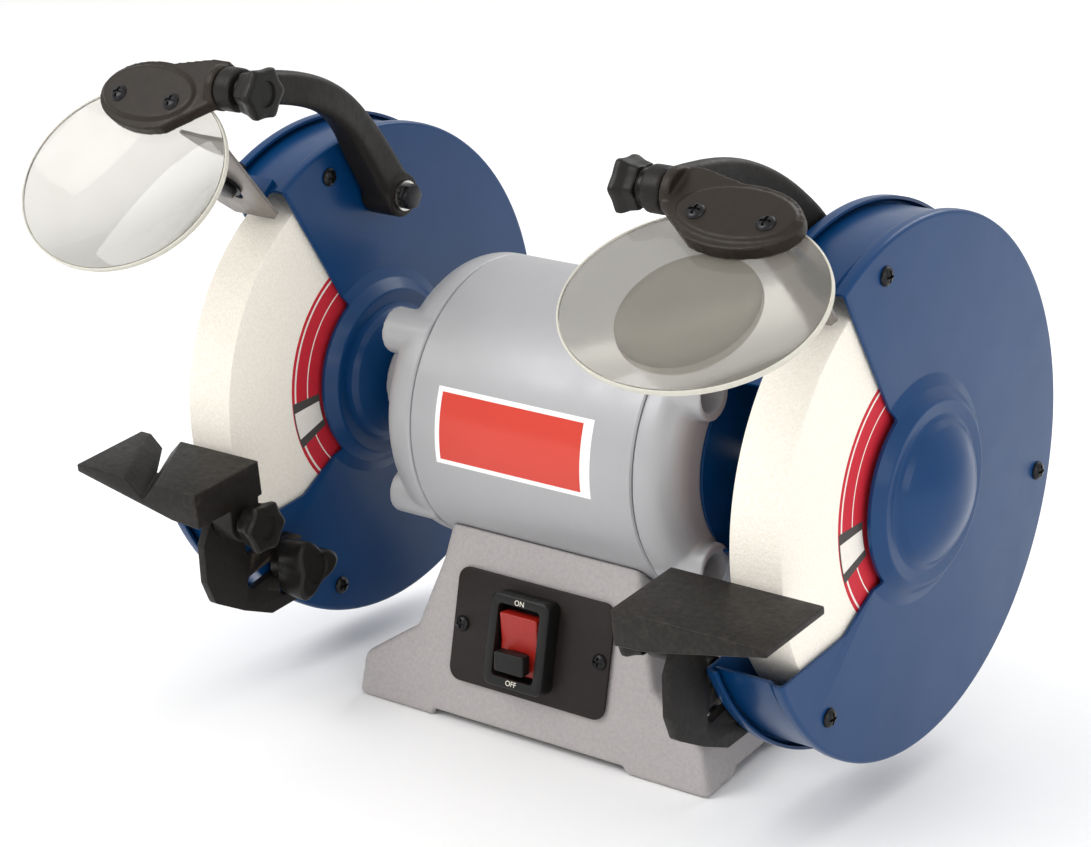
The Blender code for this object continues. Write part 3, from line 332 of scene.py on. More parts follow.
# Screen-printed ink on the switch housing.
WHITE_INK = Finish("white_screen_ink", "#E9E4D6", "#DDD8CA", 0.6, 0.03, mottle_mm=1, grain_mm=0.3,
                   grain_height_mm=0.01)
# Bright zinc plate on steel, as on nuts and washers.
ZINC = Finish("bright_zinc_plate", "#C9C8C4", "#AFAEA9", 0.28, 0.08, metallic=1.0, mottle_mm=2.5,
              grain_mm=0.5,
              grain_height_mm=0.01)
# Black oxide on hardened screws: dark, oily and half metallic.
BLACK_OXIDE = Finish("black_oxide_steel", "#2A2A2C", "#1D1D1F", 0.33, 0.08, metallic=0.75, mottle_mm=2,
                     grain_mm=0.4,
                     grain_height_mm=0.015)
# Galvanised sheet: dull grey with a rolled grain along its length.
GALVANISED = Finish("galvanised_sheet_steel", "#8C8783", "#77716D", 0.42, 0.08, metallic=0.7, mottle_mm=5,
                    grain_mm=0.7, grain_height_mm=0.02, brushed=(1.0, 0.25, 0.25))
# Ground steel shaft with the lathe's rings across it.
GROUND_STEEL = Finish("ground_steel", "#B9B9B9", "#9C9C9C", 0.25, 0.06, metallic=1.0, mottle_mm=3,
                      grain_mm=0.6,
                      grain_height_mm=0.01, brushed=(6.0, 1.0, 1.0))
# Clear polycarbonate sheet: a bright gloss with the guard and the arrestor seen through it.
CLEAR_SHEET = Finish("clear_polycarbonate", "#E0DED8", "#D6D4CD", 0.04, 0.01, ior=1.36, transmission=0.95,
                     mottle_mm=25, grain_mm=0.0, grain_height_mm=0.0)
# The other sheet is more worn: still see-through, with a milky haze.
HAZY_SHEET = Finish("hazy_polycarbonate", "#D3D0C8", "#C9C6BE", 0.09, 0.02, ior=1.38, transmission=0.86,
                    mottle_mm=25, grain_mm=0.0, grain_height_mm=0.0)
# Moulded magnifier: thicker and milkier, so that it reads as a pale disc under the sheet.
MILKY_LENS = Finish("milky_moulded_lens", "#CCC8BE", "#BFBBB0", 0.16, 0.03, ior=1.40, transmission=0.55,
                    mottle_mm=20, grain_mm=0.0, grain_height_mm=0.0)
# Sawn edge of a sheet: matt and nearly white, which draws the oval outline.
FROSTED_EDGE = Finish("sawn_polycarbonate_edge", "#E9E6DA", "#DAD6C8", 0.55, 0.05, ior=1.58,
                      transmission=0.35,
                      mottle_mm=3, grain_mm=0.7, grain_height_mm=0.04)


# ------------------------------------------------------------------ outlines


def polar(radius: float, angle: float) -> Point:
    """Y and Z of a point at an angle in degrees above the -Y direction."""
    return -radius * math.cos(math.radians(angle)), radius * math.sin(math.radians(angle))


def arc(centre: Point, radius: float, start: float, end: float, count: int) -> list[Point]:
    """Points along an arc, both ends included, with angles in degrees from the first axis."""
    turns = [math.radians(start + (end - start) * i / (count - 1)) for i in range(count)]
    return [(centre[0] + radius * math.cos(t), centre[1] + radius * math.sin(t)) for t in turns]


def ellipse(centre: Point, half_x: float, half_y: float, count: int = 120) -> list[Point]:
    """Points round an ellipse."""
    turns = [2 * math.pi * i / count for i in range(count)]
    return [(centre[0] + half_x * math.cos(t), centre[1] + half_y * math.sin(t)) for t in turns]


def rounded_rectangle(width: float, height: float, corner: float, count: int = 9) -> list[Point]:
    """A rectangle about the origin, with round corners.

    Args:
        width: The full width.
        height: The full height.
        corner: The corners' radius.
        count: Points on each corner.

    Returns:
        The outline.
    """
    x, y = width / 2 - corner, height / 2 - corner
    points: list[Point] = []
    for centre, start in (((x, y), 0), ((-x, y), 90), ((-x, -y), 180), ((x, -y), 270)):
        points += arc(centre, corner, start, start + 90, count)
    return points


def slot_outline(centre: Point, length: float, width: float, slope: float = 0.0) -> list[Point]:
    """A slot with round ends, its long axis at a slope in degrees.

    Args:
        centre: The slot's middle.
        length: The full length, round ends included.
        width: The slot's width.
        slope: The long axis's slope in degrees.

    Returns:
        The outline.
    """
    half = (length - width) / 2
    step = (half * math.cos(math.radians(slope)), half * math.sin(math.radians(slope)))
    first = (centre[0] + step[0], centre[1] + step[1])
    second = (centre[0] - step[0], centre[1] - step[1])
    right_end = arc(first, width / 2, slope - 90, slope + 90, 13)
    return right_end + arc(second, width / 2, slope + 90, slope + 270, 13)


def fillet(points: Sequence[Point], radius: float, closed: bool = False, count: int = 6) -> list[Point]:
    """Round the corners of a line.

    Args:
        points: The line's corners.
        radius: The fillet's radius, limited by half of each neighbouring stretch.
        closed: Whether the last point joins the first.
        count: Points on each fillet.

    Returns:
        The rounded line.
    """
    result: list[Point] = []
    last = len(points) - 1
    for i, point in enumerate(points):
        if not closed and i in (0, last):
            result.append(point)
            continue
        here = Vector(point)
        before, after = Vector(points[i - 1]) - here, Vector(points[(i + 1) % len(points)]) - here
        opening = before.angle(after, math.pi)
        if opening > math.radians(176):
            result.append(point)
            continue
        reach = min(radius / math.tan(opening / 2), before.length * 0.49, after.length * 0.49)
        start, end = here + before.normalized() * reach, here + after.normalized() * reach
        for j in range(count):
            t = j / (count - 1)
            result.append(tuple((1 - t) ** 2 * start + 2 * t * (1 - t) * here + t**2 * end))
    return result


# ------------------------------------------------------------------ solids


class Solid:
    """A closed shape while it is being worked on."""

    def __init__(self, mesh: bpy.types.Mesh) -> None:
        """Hold a mesh in the scene, at the origin."""
        self.obj = bpy.data.objects.new("working", mesh)
        bpy.context.scene.collection.objects.link(self.obj)

    @classmethod
    def from_bmesh(cls, bm: bmesh.types.BMesh, place: Matrix | None = None) -> "Solid":
        """Take over a bmesh, with its faces turned outwards.

        Args:
            bm: The bmesh, which is used up.
            place: Where the local origin stands, or nothing for a shape that is in place.

        Returns:
            The solid.
        """
        if place is not None:
            bmesh.ops.transform(bm, matrix=place, verts=bm.verts)
        bmesh.ops.recalc_face_normals(bm, faces=bm.faces)
        mesh = bpy.data.meshes.new("working")
        bm.to_mesh(mesh)
        bm.free()
        return cls(mesh)

    @classmethod
    def turned(cls, profile: Sequence[Point], place: Matrix, steps: int = 128,
               closed: bool = True) -> "Solid":
        """Spin a profile of (radius, height) points about the local X axis.

        Args:
            profile: The half section; points on the axis become poles.
            place: Where the local origin stands.
            steps: Facets round the axis.
            closed: Whether the section's last point joins the first.

        Returns:
            The turned solid, or an open surface for an open section off the axis.
        """
        bm = bmesh.new()
        rows: list[list[bmesh.types.BMVert]] = []
        for radius, height in profile:
            if radius < 1e-7:
                rows.append([bm.verts.new((height, 0, 0))] * steps)
                continue
            turns = [2 * math.pi * i / steps for i in range(steps)]
            rows.append([bm.verts.new((height, radius * math.cos(t), radius * math.sin(t))) for t in turns])
        pairs = list(zip(rows, rows[1:])) + ([(rows[-1], rows[0])] if closed else [])
        for lower, upper in pairs:
            for i in range(steps):
                j = (i + 1) % steps
                corners = list(dict.fromkeys((lower[i], lower[j], upper[j], upper[i])))
                if len(corners) > 2:
                    bm.faces.new(corners)
        return cls.from_bmesh(bm, place)

    @classmethod
    def rod(cls, radius: float, low: float, high: float, place: Matrix, steps: int = 48) -> "Solid":
        """A round bar from low to high along local X."""
        return cls.turned([(0, low), (radius, low), (radius, high), (0, high)], place, steps, closed=False)

    @classmethod
    def prism(cls, outline: Sequence[Point], low: float, high: float, place: Matrix) -> "Solid":
        """Raise a flat outline in local X and Y from low to high along local Z.

        Args:
            outline: Points of the flat outline.
            low: Where it starts along local Z.
            high: Where it ends along local Z.
            place: Where the local origin stands and how it is turned.

        Returns:
            The solid.
        """
        bm = bmesh.new()
        floor = [bm.verts.new((x, y, low)) for x, y in outline]
        roof = [bm.verts.new((x, y, high)) for x, y in outline]
        bm.faces.new(floor)
        bm.faces.new(roof)
        for i in range(len(outline)):
            j = (i + 1) % len(outline)
            bm.faces.new((floor[i], floor[j], roof[j], roof[i]))
        return cls.from_bmesh(bm, place)

    @classmethod
    def block(cls, low: Point3, high: Point3, place: Matrix) -> "Solid":
        """A box between two corners."""
        outline = [(low[0], low[1]), (high[0], low[1]), (high[0], high[1]), (low[0], high[1])]
        return cls.prism(outline, low[2], high[2], place)

    @classmethod
    def loft(cls, rings: Sequence[Sequence[Point3]], place: Matrix) -> "Solid":
        """A closed skin through rings with equal numbers of points.

        Args:
            rings: The rings, from one end to the other.
            place: Where the local origin stands and how it is turned.

        Returns:
            The solid.
        """
        bm = bmesh.new()
        rows = [[bm.verts.new(point) for point in ring] for ring in rings]
        for lower, upper in zip(rows, rows[1:]):
            for i in range(len(lower)):
                j = (i + 1) % len(lower)
                bm.faces.new((lower[i], lower[j], upper[j], upper[i]))
        bm.faces.new(rows[0])
        bm.faces.new(rows[-1])
        return cls.from_bmesh(bm, place)

    @classmethod
    def node_copy(cls, node: bpy.types.Object) -> "Solid":
        """A merged copy of a CAD node's mesh.

        Args:
            node: The CAD node.

        Returns:
            The solid.
        """
        bm = bmesh.new()
        bm.from_mesh(node.data)
        bmesh.ops.remove_doubles(bm, verts=bm.verts, dist=1e-6)
        return cls.from_bmesh(bm)

    def modified(self, kind: str, **settings) -> "Solid":
        """Add one modifier and make its result the mesh.

        Args:
            kind: The modifier's type.
            **settings: The modifier's attributes.

        Returns:
            This solid.
        """
        modifier = self.obj.modifiers.new("step", kind)
        for name, value in settings.items():
            setattr(modifier, name, value)
        depsgraph = bpy.context.evaluated_depsgraph_get()
        mesh = bpy.data.meshes.new_from_object(self.obj.evaluated_get(depsgraph), depsgraph=depsgraph)
        self.obj.modifiers.clear()
        old, self.obj.data = self.obj.data, mesh
        bpy.data.meshes.remove(old)
        return self

    def fit(self, tool: "Solid", how: Fit) -> "Solid":
        """Cut, join or keep with another solid, which is used up.

        Args:
            tool: The other solid, which is used up.
            how: How the two are combined.

        Returns:
            This solid.
        """
        self.modified("BOOLEAN", operation=how.value, object=tool.obj, solver="EXACT")
        tool.discard()
        return self

    def cut(self, tool: "Solid") -> "Solid":
        """Take a tool's shape away."""
        return self.fit(tool, Fit.CUT)

    def join(self, tool: "Solid") -> "Solid":
        """Merge a tool's shape in."""
        return self.fit(tool, Fit.JOIN)

    def bevel(self, width: float, segments: int = 2, angle: float = 35.0) -> "Solid":
        """Round the edges that are sharper than angle."""
        return self.modified("BEVEL", width=width, segments=segments, limit_method="ANGLE",
                             angle_limit=math.radians(angle), use_clamp_overlap=True, harden_normals=False)

    def cast(self, grain: float, passes: int = 6) -> "Solid":
        """Melt the joints into fillets, as a mould does.

        Args:
            grain: The size of the faces.
            passes: Rounds of smoothing.

        Returns:
            This solid.
        """
        self.modified("REMESH", mode="VOXEL", voxel_size=grain)
        return self.modified("SMOOTH", factor=0.5, iterations=passes)

    def discard(self) -> None:
        """Remove a tool after its use."""
        mesh = self.obj.data
        bpy.data.objects.remove(self.obj)
        bpy.data.meshes.remove(mesh)

    def piece(self, name: str, finish: Finish, body: str, slot: str, replaced: Sequence[str] = (),
              sharp_angle: float = 35.0) -> bpy.types.Object:
        """Finish the solid as a named piece on a body.

        Args:
            name: The piece's name.
            finish: Its material.
            body: The CAD body that it moves with.
            slot: The record's material slot; not used.
            replaced: CAD nodes that it stands for.
            sharp_angle: Edges sharper than this stay crisp.

        Returns:
            The finished object.
        """
        self.obj.name = self.obj.data.name = name
        self.obj.data.materials.clear()
        self.obj.data.materials.append(finish.build())
        self.obj.data.shade_smooth()
        self.obj.data.set_sharp_from_angle(angle=math.radians(sharp_angle))
        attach(self.obj, body)
        if replaced:
            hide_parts(*replaced)
        LOG.info("%s: %d faces on %s", name, len(self.obj.data.polygons), body)
        return self.obj


def at(point: Sequence[float], turn_x: float = 0.0) -> Matrix:
    """A place turned about X by some degrees."""
    return Matrix.Translation(Vector(point)) @ Matrix.Rotation(math.radians(turn_x), 4, "X")


IN_YZ = Matrix(((0, 0, 1, 0), (1, 0, 0, 0), (0, 1, 0, 0), (0, 0, 0, 1)))   # local X, Y, Z to Y, Z, X
IN_XZ = Matrix(((1, 0, 0, 0), (0, 0, -1, 0), (0, 1, 0, 0), (0, 0, 0, 1)))  # local X, Y, Z to X, Z, -Y
X_TO_Z = Matrix.Rotation(math.radians(-90), 4, "Y")


# ------------------------------------------------------------------ geometry nodes


def open_tree(name: str, inputs: Sequence[tuple[str, str]]) -> bpy.types.NodeTree:
    """Start a node tree that takes and gives geometry.

    Args:
        name: The tree's name.
        inputs: Pairs of an input's name and its kind, such as Float or Material.

    Returns:
        The tree, with no nodes in it yet.
    """
    tree = bpy.data.node_groups.new(name, "GeometryNodeTree")
    for label, kind in (("Geometry", "Geometry"), *inputs):
        tree.interface.new_socket(label, in_out="INPUT", socket_type="NodeSocket" + kind)
    tree.interface.new_socket("Geometry", in_out="OUTPUT", socket_type="NodeSocketGeometry")
    return tree


def close_tree(tree: bpy.types.NodeTree, geometry: bpy.types.NodeSocket,
               finish: bpy.types.NodeSocket) -> None:
    """Realise a tree's geometry, give it a material and lead it out.

    Args:
        tree: The tree to end.
        geometry: What the tree has made.
        finish: The socket that holds the material.
    """
    real = add_node(tree, "GeometryNodeRealizeInstances", None, Geometry=geometry)
    dressed = add_node(tree, "GeometryNodeSetMaterial", None, Geometry=real.outputs[0], Material=finish)
    add_node(tree, "NodeGroupOutput", None, Geometry=dressed.outputs[0])


def grown(mesh: bpy.types.Mesh, tree: bpy.types.NodeTree, values: dict) -> Solid:
    """Run a node tree on a mesh and keep the result as a plain mesh.

    Args:
        mesh: What the tree starts from.
        tree: The tree.
        values: Each named input's value.

    Returns:
        The result, as a solid.
    """
    solid = Solid(mesh)
    modifier = solid.obj.modifiers.new("grown", "NODES")
    modifier.node_group = tree
    for socket in tree.interface.items_tree:
        if socket.in_out == "INPUT" and socket.name in values:
            modifier[socket.identifier] = values[socket.name]
    depsgraph = bpy.context.evaluated_depsgraph_get()
    made = bpy.data.meshes.new_from_object(solid.obj.evaluated_get(depsgraph), depsgraph=depsgraph)
    solid.obj.modifiers.clear()
    solid.obj.data = made
    return solid


@dataclass
class ScrewHeads:
    """Pan or hex heads, one at every vertex of a mesh, each facing along the vertex's stored direction."""

    head_radius: float
    head_height: float
    recess_width: float = 1.1 * MM
    sides: int = 24
    cross: bool = True

    def tree(self) -> bpy.types.NodeTree:
        """Build the node tree with named inputs.

        Returns:
            The tree: instances on points, realised, with a material set.
        """
        name = "cross_head_screws" if self.cross else "hex_heads"
        found = bpy.data.node_groups.get(name)
        if found:
            return found
        tree = open_tree(name, (("Head Radius", "Float"), ("Head Height", "Float"), ("Recess Width", "Float"),
                                ("Sides", "Int"), ("Finish", "Material")))
        given = tree.nodes.new("NodeGroupInput").outputs
        if self.cross:
            head = self.pan(tree, given)
        else:
            head = add_node(tree, "GeometryNodeMeshCylinder", None, Vertices=given["Sides"],
                            Radius=given["Head Radius"],
                            Depth=given["Head Height"]).outputs["Mesh"]
        direction = add_node(tree, "GeometryNodeInputNamedAttribute", {"data_type": "FLOAT_VECTOR"},
                             Name="facing")
        turn = add_node(tree, "FunctionNodeAlignRotationToVector", {"axis": "Z"}, Vector=direction.outputs[0])
        copies = add_node(tree, "GeometryNodeInstanceOnPoints", None, Points=given["Geometry"], Instance=head,
                          Rotation=turn.outputs[0])
        close_tree(tree, copies.outputs[0], given["Finish"])
        return tree

    def pan(self, tree: bpy.types.NodeTree, given: bpy.types.NodeOutputs) -> bpy.types.NodeSocket:
        """A domed head with a cross recess.

        Args:
            tree: The tree to add to.
            given: The group input's sockets.

        Returns:
            The head's mesh socket.
        """
        ball = add_node(tree, "GeometryNodeMeshUVSphere", None, Segments=given["Sides"], Rings=14, Radius=1.0)
        size = add_node(tree, "ShaderNodeCombineXYZ", None, X=given["Head Radius"], Y=given["Head Radius"],
                        Z=given["Head Height"])
        dome = add_node(tree, "GeometryNodeTransform", None, Geometry=ball.outputs["Mesh"],
                        Scale=size.outputs[0])
        place = add_node(tree, "GeometryNodeInputPosition")
        parts = add_node(tree, "ShaderNodeSeparateXYZ", None, Vector=place.outputs[0])
        floor = add_node(tree, "ShaderNodeMath", {"operation": "MULTIPLY"}, i0=given["Head Height"], i1=-0.25)
        level = add_node(tree, "ShaderNodeMath", {"operation": "MAXIMUM"}, i0=parts.outputs["Z"],
                         i1=floor.outputs[0])
        flat = add_node(tree, "ShaderNodeCombineXYZ", None, X=parts.outputs["X"], Y=parts.outputs["Y"],
                        Z=level.outputs[0])
        based = add_node(tree, "GeometryNodeSetPosition", None, Geometry=dome.outputs[0],
                         Position=flat.outputs[0])
        long = add_node(tree, "ShaderNodeMath", {"operation": "MULTIPLY"}, i0=given["Head Radius"], i1=1.25)
        deep = add_node(tree, "ShaderNodeMath", {"operation": "MULTIPLY"}, i0=given["Head Height"], i1=1.2)
        bars = []
        for first, second in (("long", "wide"), ("wide", "long")):
            lengths = {"long": long.outputs[0], "wide": given["Recess Width"]}
            box_size = add_node(tree, "ShaderNodeCombineXYZ", None, X=lengths[first], Y=lengths[second],
                                Z=deep.outputs[0])
            cube = add_node(tree, "GeometryNodeMeshCube", None, Size=box_size.outputs[0])
            lift = add_node(tree, "ShaderNodeCombineXYZ", None, Z=given["Head Height"])
            bar = add_node(tree, "GeometryNodeTransform", None, Geometry=cube.outputs["Mesh"],
                           Translation=lift.outputs[0])
            bars.append(bar.outputs[0])
        cut = add_node(tree, "GeometryNodeMeshBoolean", {"operation": "DIFFERENCE", "solver": "EXACT"})
        tree.links.new(based.outputs[0], cut.inputs["Mesh 1"])
        for bar in bars:
            tree.links.new(bar, cut.inputs["Mesh 2"])
        return cut.outputs["Mesh"]

    def place(self, name: str, spots: Sequence[tuple[Vector, Vector]], finish: Finish, body: str, slot: str,
              replaced: Sequence[str] = ()) -> bpy.types.Object:
        """Set a head at each spot and keep the result as one plain mesh.

        Args:
            name: The piece's name.
            spots: Pairs of a place and the direction the head faces.
            finish: The material.
            body: The CAD body.
            slot: The record's material slot.
            replaced: CAD nodes that the heads stand for.

        Returns:
            The finished piece.
        """
        mesh = bpy.data.meshes.new(name)
        mesh.from_pydata([spot for spot, _ in spots], [], [])
        facing = mesh.attributes.new("facing", "FLOAT_VECTOR", "POINT")
        for item, (_, direction) in zip(facing.data, spots):
            item.vector = direction
        values = {"Head Radius": self.head_radius, "Head Height": self.head_height,
                  "Recess Width": self.recess_width, "Sides": self.sides, "Finish": finish.build()}
        return grown(mesh, self.tree(), values).piece(name, finish, body, slot, replaced, sharp_angle=30)


@dataclass
class Coil:
    """A helix swept by Geometry Nodes: a spring, or the thread on a bolt."""

    radius: float
    wire: float
    length: float
    turns: float

    def build(self, name: str, place: Matrix, finish: Finish, body: str, slot: str) -> bpy.types.Object:
        """Sweep the helix along local Z.

        Args:
            name: The piece's name.
            place: Where the helix starts and how it is turned.
            finish: The material.
            body: The CAD body.
            slot: The record's material slot.

        Returns:
            The finished piece.
        """
        tree = open_tree("helix", (("Radius", "Float"), ("Wire", "Float"), ("Length", "Float"),
                                   ("Turns", "Float"), ("Finish", "Material")))
        given = tree.nodes.new("NodeGroupInput").outputs
        helix = add_node(tree, "GeometryNodeCurveSpiral", None, Resolution=20, Rotations=given["Turns"],
                         Start_Radius=given["Radius"], End_Radius=given["Radius"], Height=given["Length"])
        wire = add_node(tree, "GeometryNodeCurvePrimitiveCircle", None, Resolution=8, Radius=given["Wire"])
        swept = add_node(tree, "GeometryNodeCurveToMesh", None, Curve=helix.outputs[0],
                         Profile_Curve=wire.outputs[0],
                         Fill_Caps=True)
        close_tree(tree, swept.outputs[0], given["Finish"])
        values = {"Radius": self.radius, "Wire": self.wire, "Length": self.length, "Turns": self.turns,
                  "Finish": finish.build()}
        coil = grown(bpy.data.meshes.new(name), tree, values)
        coil.obj.data.transform(place)
        return coil.piece(name, finish, body, slot)


# ------------------------------------------------------------------ the grinder


@dataclass
class Frame:
    """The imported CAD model: its nodes, its joints and the shaft's centre."""

    nodes: dict
    joints: dict
    centre: Vector

    @classmethod
    def load(cls) -> "Frame":
        """Load the frame and find the shaft.

        Returns:
            The frame.
        """
        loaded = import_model()
        low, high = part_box("shaft")
        joints = {joint["name"]: joint for joint in loaded["joints"]}
        return cls(loaded["nodes"], joints, (low + high) / 2)

    def place(self, x: float = 0.0, y: float = 0.0, z: float = 0.0, turn_x: float = 0.0) -> Matrix:
        """A place measured from the shaft's centre."""
        return at(self.centre + Vector((x, y, z)), turn_x)

    def pivot(self, joint: str) -> Vector:
        """A hinge's position at rest."""
        return Vector(self.joints[joint]["pos_m"])


@dataclass
class Wheels:
    """White wheels with paper labels, on one shaft."""

    frame: Frame
    chamfer: float = 1.2 * MM
    bore: float = 8.3 * MM
    label_outer: float = 60.5 * MM
    label_inner: float = 36.5 * MM
    paper: float = 0.25 * MM

    def build(self) -> None:
        """Make the wheels and dress the steel that turns with them."""
        for side in Side:
            self.wheel(side)
        for name, node in self.frame.nodes.items():
            if name.startswith(("inner_flange", "outer_flange", "arbor_nut")):
                Solid.node_copy(node).bevel(0.7 * MM, 2, 50).piece(
                    name + "_turned", ZINC, "rotor", "zinc_steel", [name])
        low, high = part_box("shaft")
        radius = (high.z - low.z) / 2
        half = (high.x - low.x) / 2
        profile = [(0, -half), (radius - 1 * MM, -half), (radius, 1 * MM - half), (radius, half - 1 * MM),
                   (radius - 1 * MM, half), (0, half)]
        Solid.turned(profile, self.frame.place(), 64, closed=False).piece(
            "ground_shaft", GROUND_STEEL, "rotor", "zinc_steel", ["shaft"])

    def wheel(self, side: Side) -> None:
        """One wheel with a label on each face.

        Args:
            side: The end of the grinder.
        """
        low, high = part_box("wheel_" + side.label)
        radius, half, middle = (high.z - low.z) / 2, (high.x - low.x) / 2, (high.x + low.x) / 2
        edge = self.chamfer
        profile = [(self.bore, -half), (radius - edge, -half), (radius - edge * 0.3, edge * 0.3 - half),
                   (radius, edge - half), (radius, half - edge), (radius - edge * 0.3, half - edge * 0.3),
                   (radius - edge, half), (self.bore, half)]
        place = self.frame.place(x=middle)
        Solid.turned(profile, place, 256).piece("abrasive_wheel_" + side.label, STONE, "rotor", "white_stone",
                                                ["wheel_" + side.label])
        for face in (-1, 1):
            tag = side.label + ("_right_face" if face > 0 else "_left_face")
            self.label(place, face, half, tag)

    def label(self, place: Matrix, face: int, half: float, tag: str) -> None:
        """A printed paper ring on one face of a wheel: red, with two white rings and a blank data panel.

        Args:
            place: The wheel's middle.
            face: The sign of X that the face looks to.
            half: Half the wheel's width.
            tag: The end of the pieces' names.
        """
        rings = ((self.label_inner, self.label_outer, 1.0, LABEL_RED, "label_paper_"),
                 (self.label_outer - 2.6 * MM, self.label_outer - 1.6 * MM, 1.25, LABEL_WHITE,
                  "label_ring_outer_"),
                 (self.label_outer - 10.6 * MM, self.label_outer - 10.0 * MM, 1.25, LABEL_WHITE,
                  "label_ring_inner_"))
        for inner, outer, layers, finish, name in rings:
            top = face * (half + self.paper * layers)
            root = face * (half - 0.1 * MM)
            profile = [(inner, root), (outer, root), (outer, top), (inner, top)]
            Solid.turned(profile, place, 160).piece(name + tag, finish, "rotor", "white_stone")
        panels = ((-25.0, -3.0, LABEL_GREY, 1.5, 0.0), (-20.5, -7.5, LABEL_WHITE, 1.75, 0.6 * MM))
        for number, (start, end, finish, layers, inset) in enumerate(panels):
            inner, outer = self.label_inner + 6 * MM + inset, self.label_outer - 0.2 * MM - inset
            outline = [polar(outer, start + (end - start) * i / 12) for i in range(13)]
            outline += [polar(inner, end + (start - end) * i / 12) for i in range(13)]
            base, top = sorted((face * (half - 0.1 * MM), face * (half + self.paper * layers)))
            Solid.prism(outline, base, top, place @ IN_YZ).piece(
                "label_panel_%d_%s" % (number + 1, tag), finish, "rotor", "white_stone")


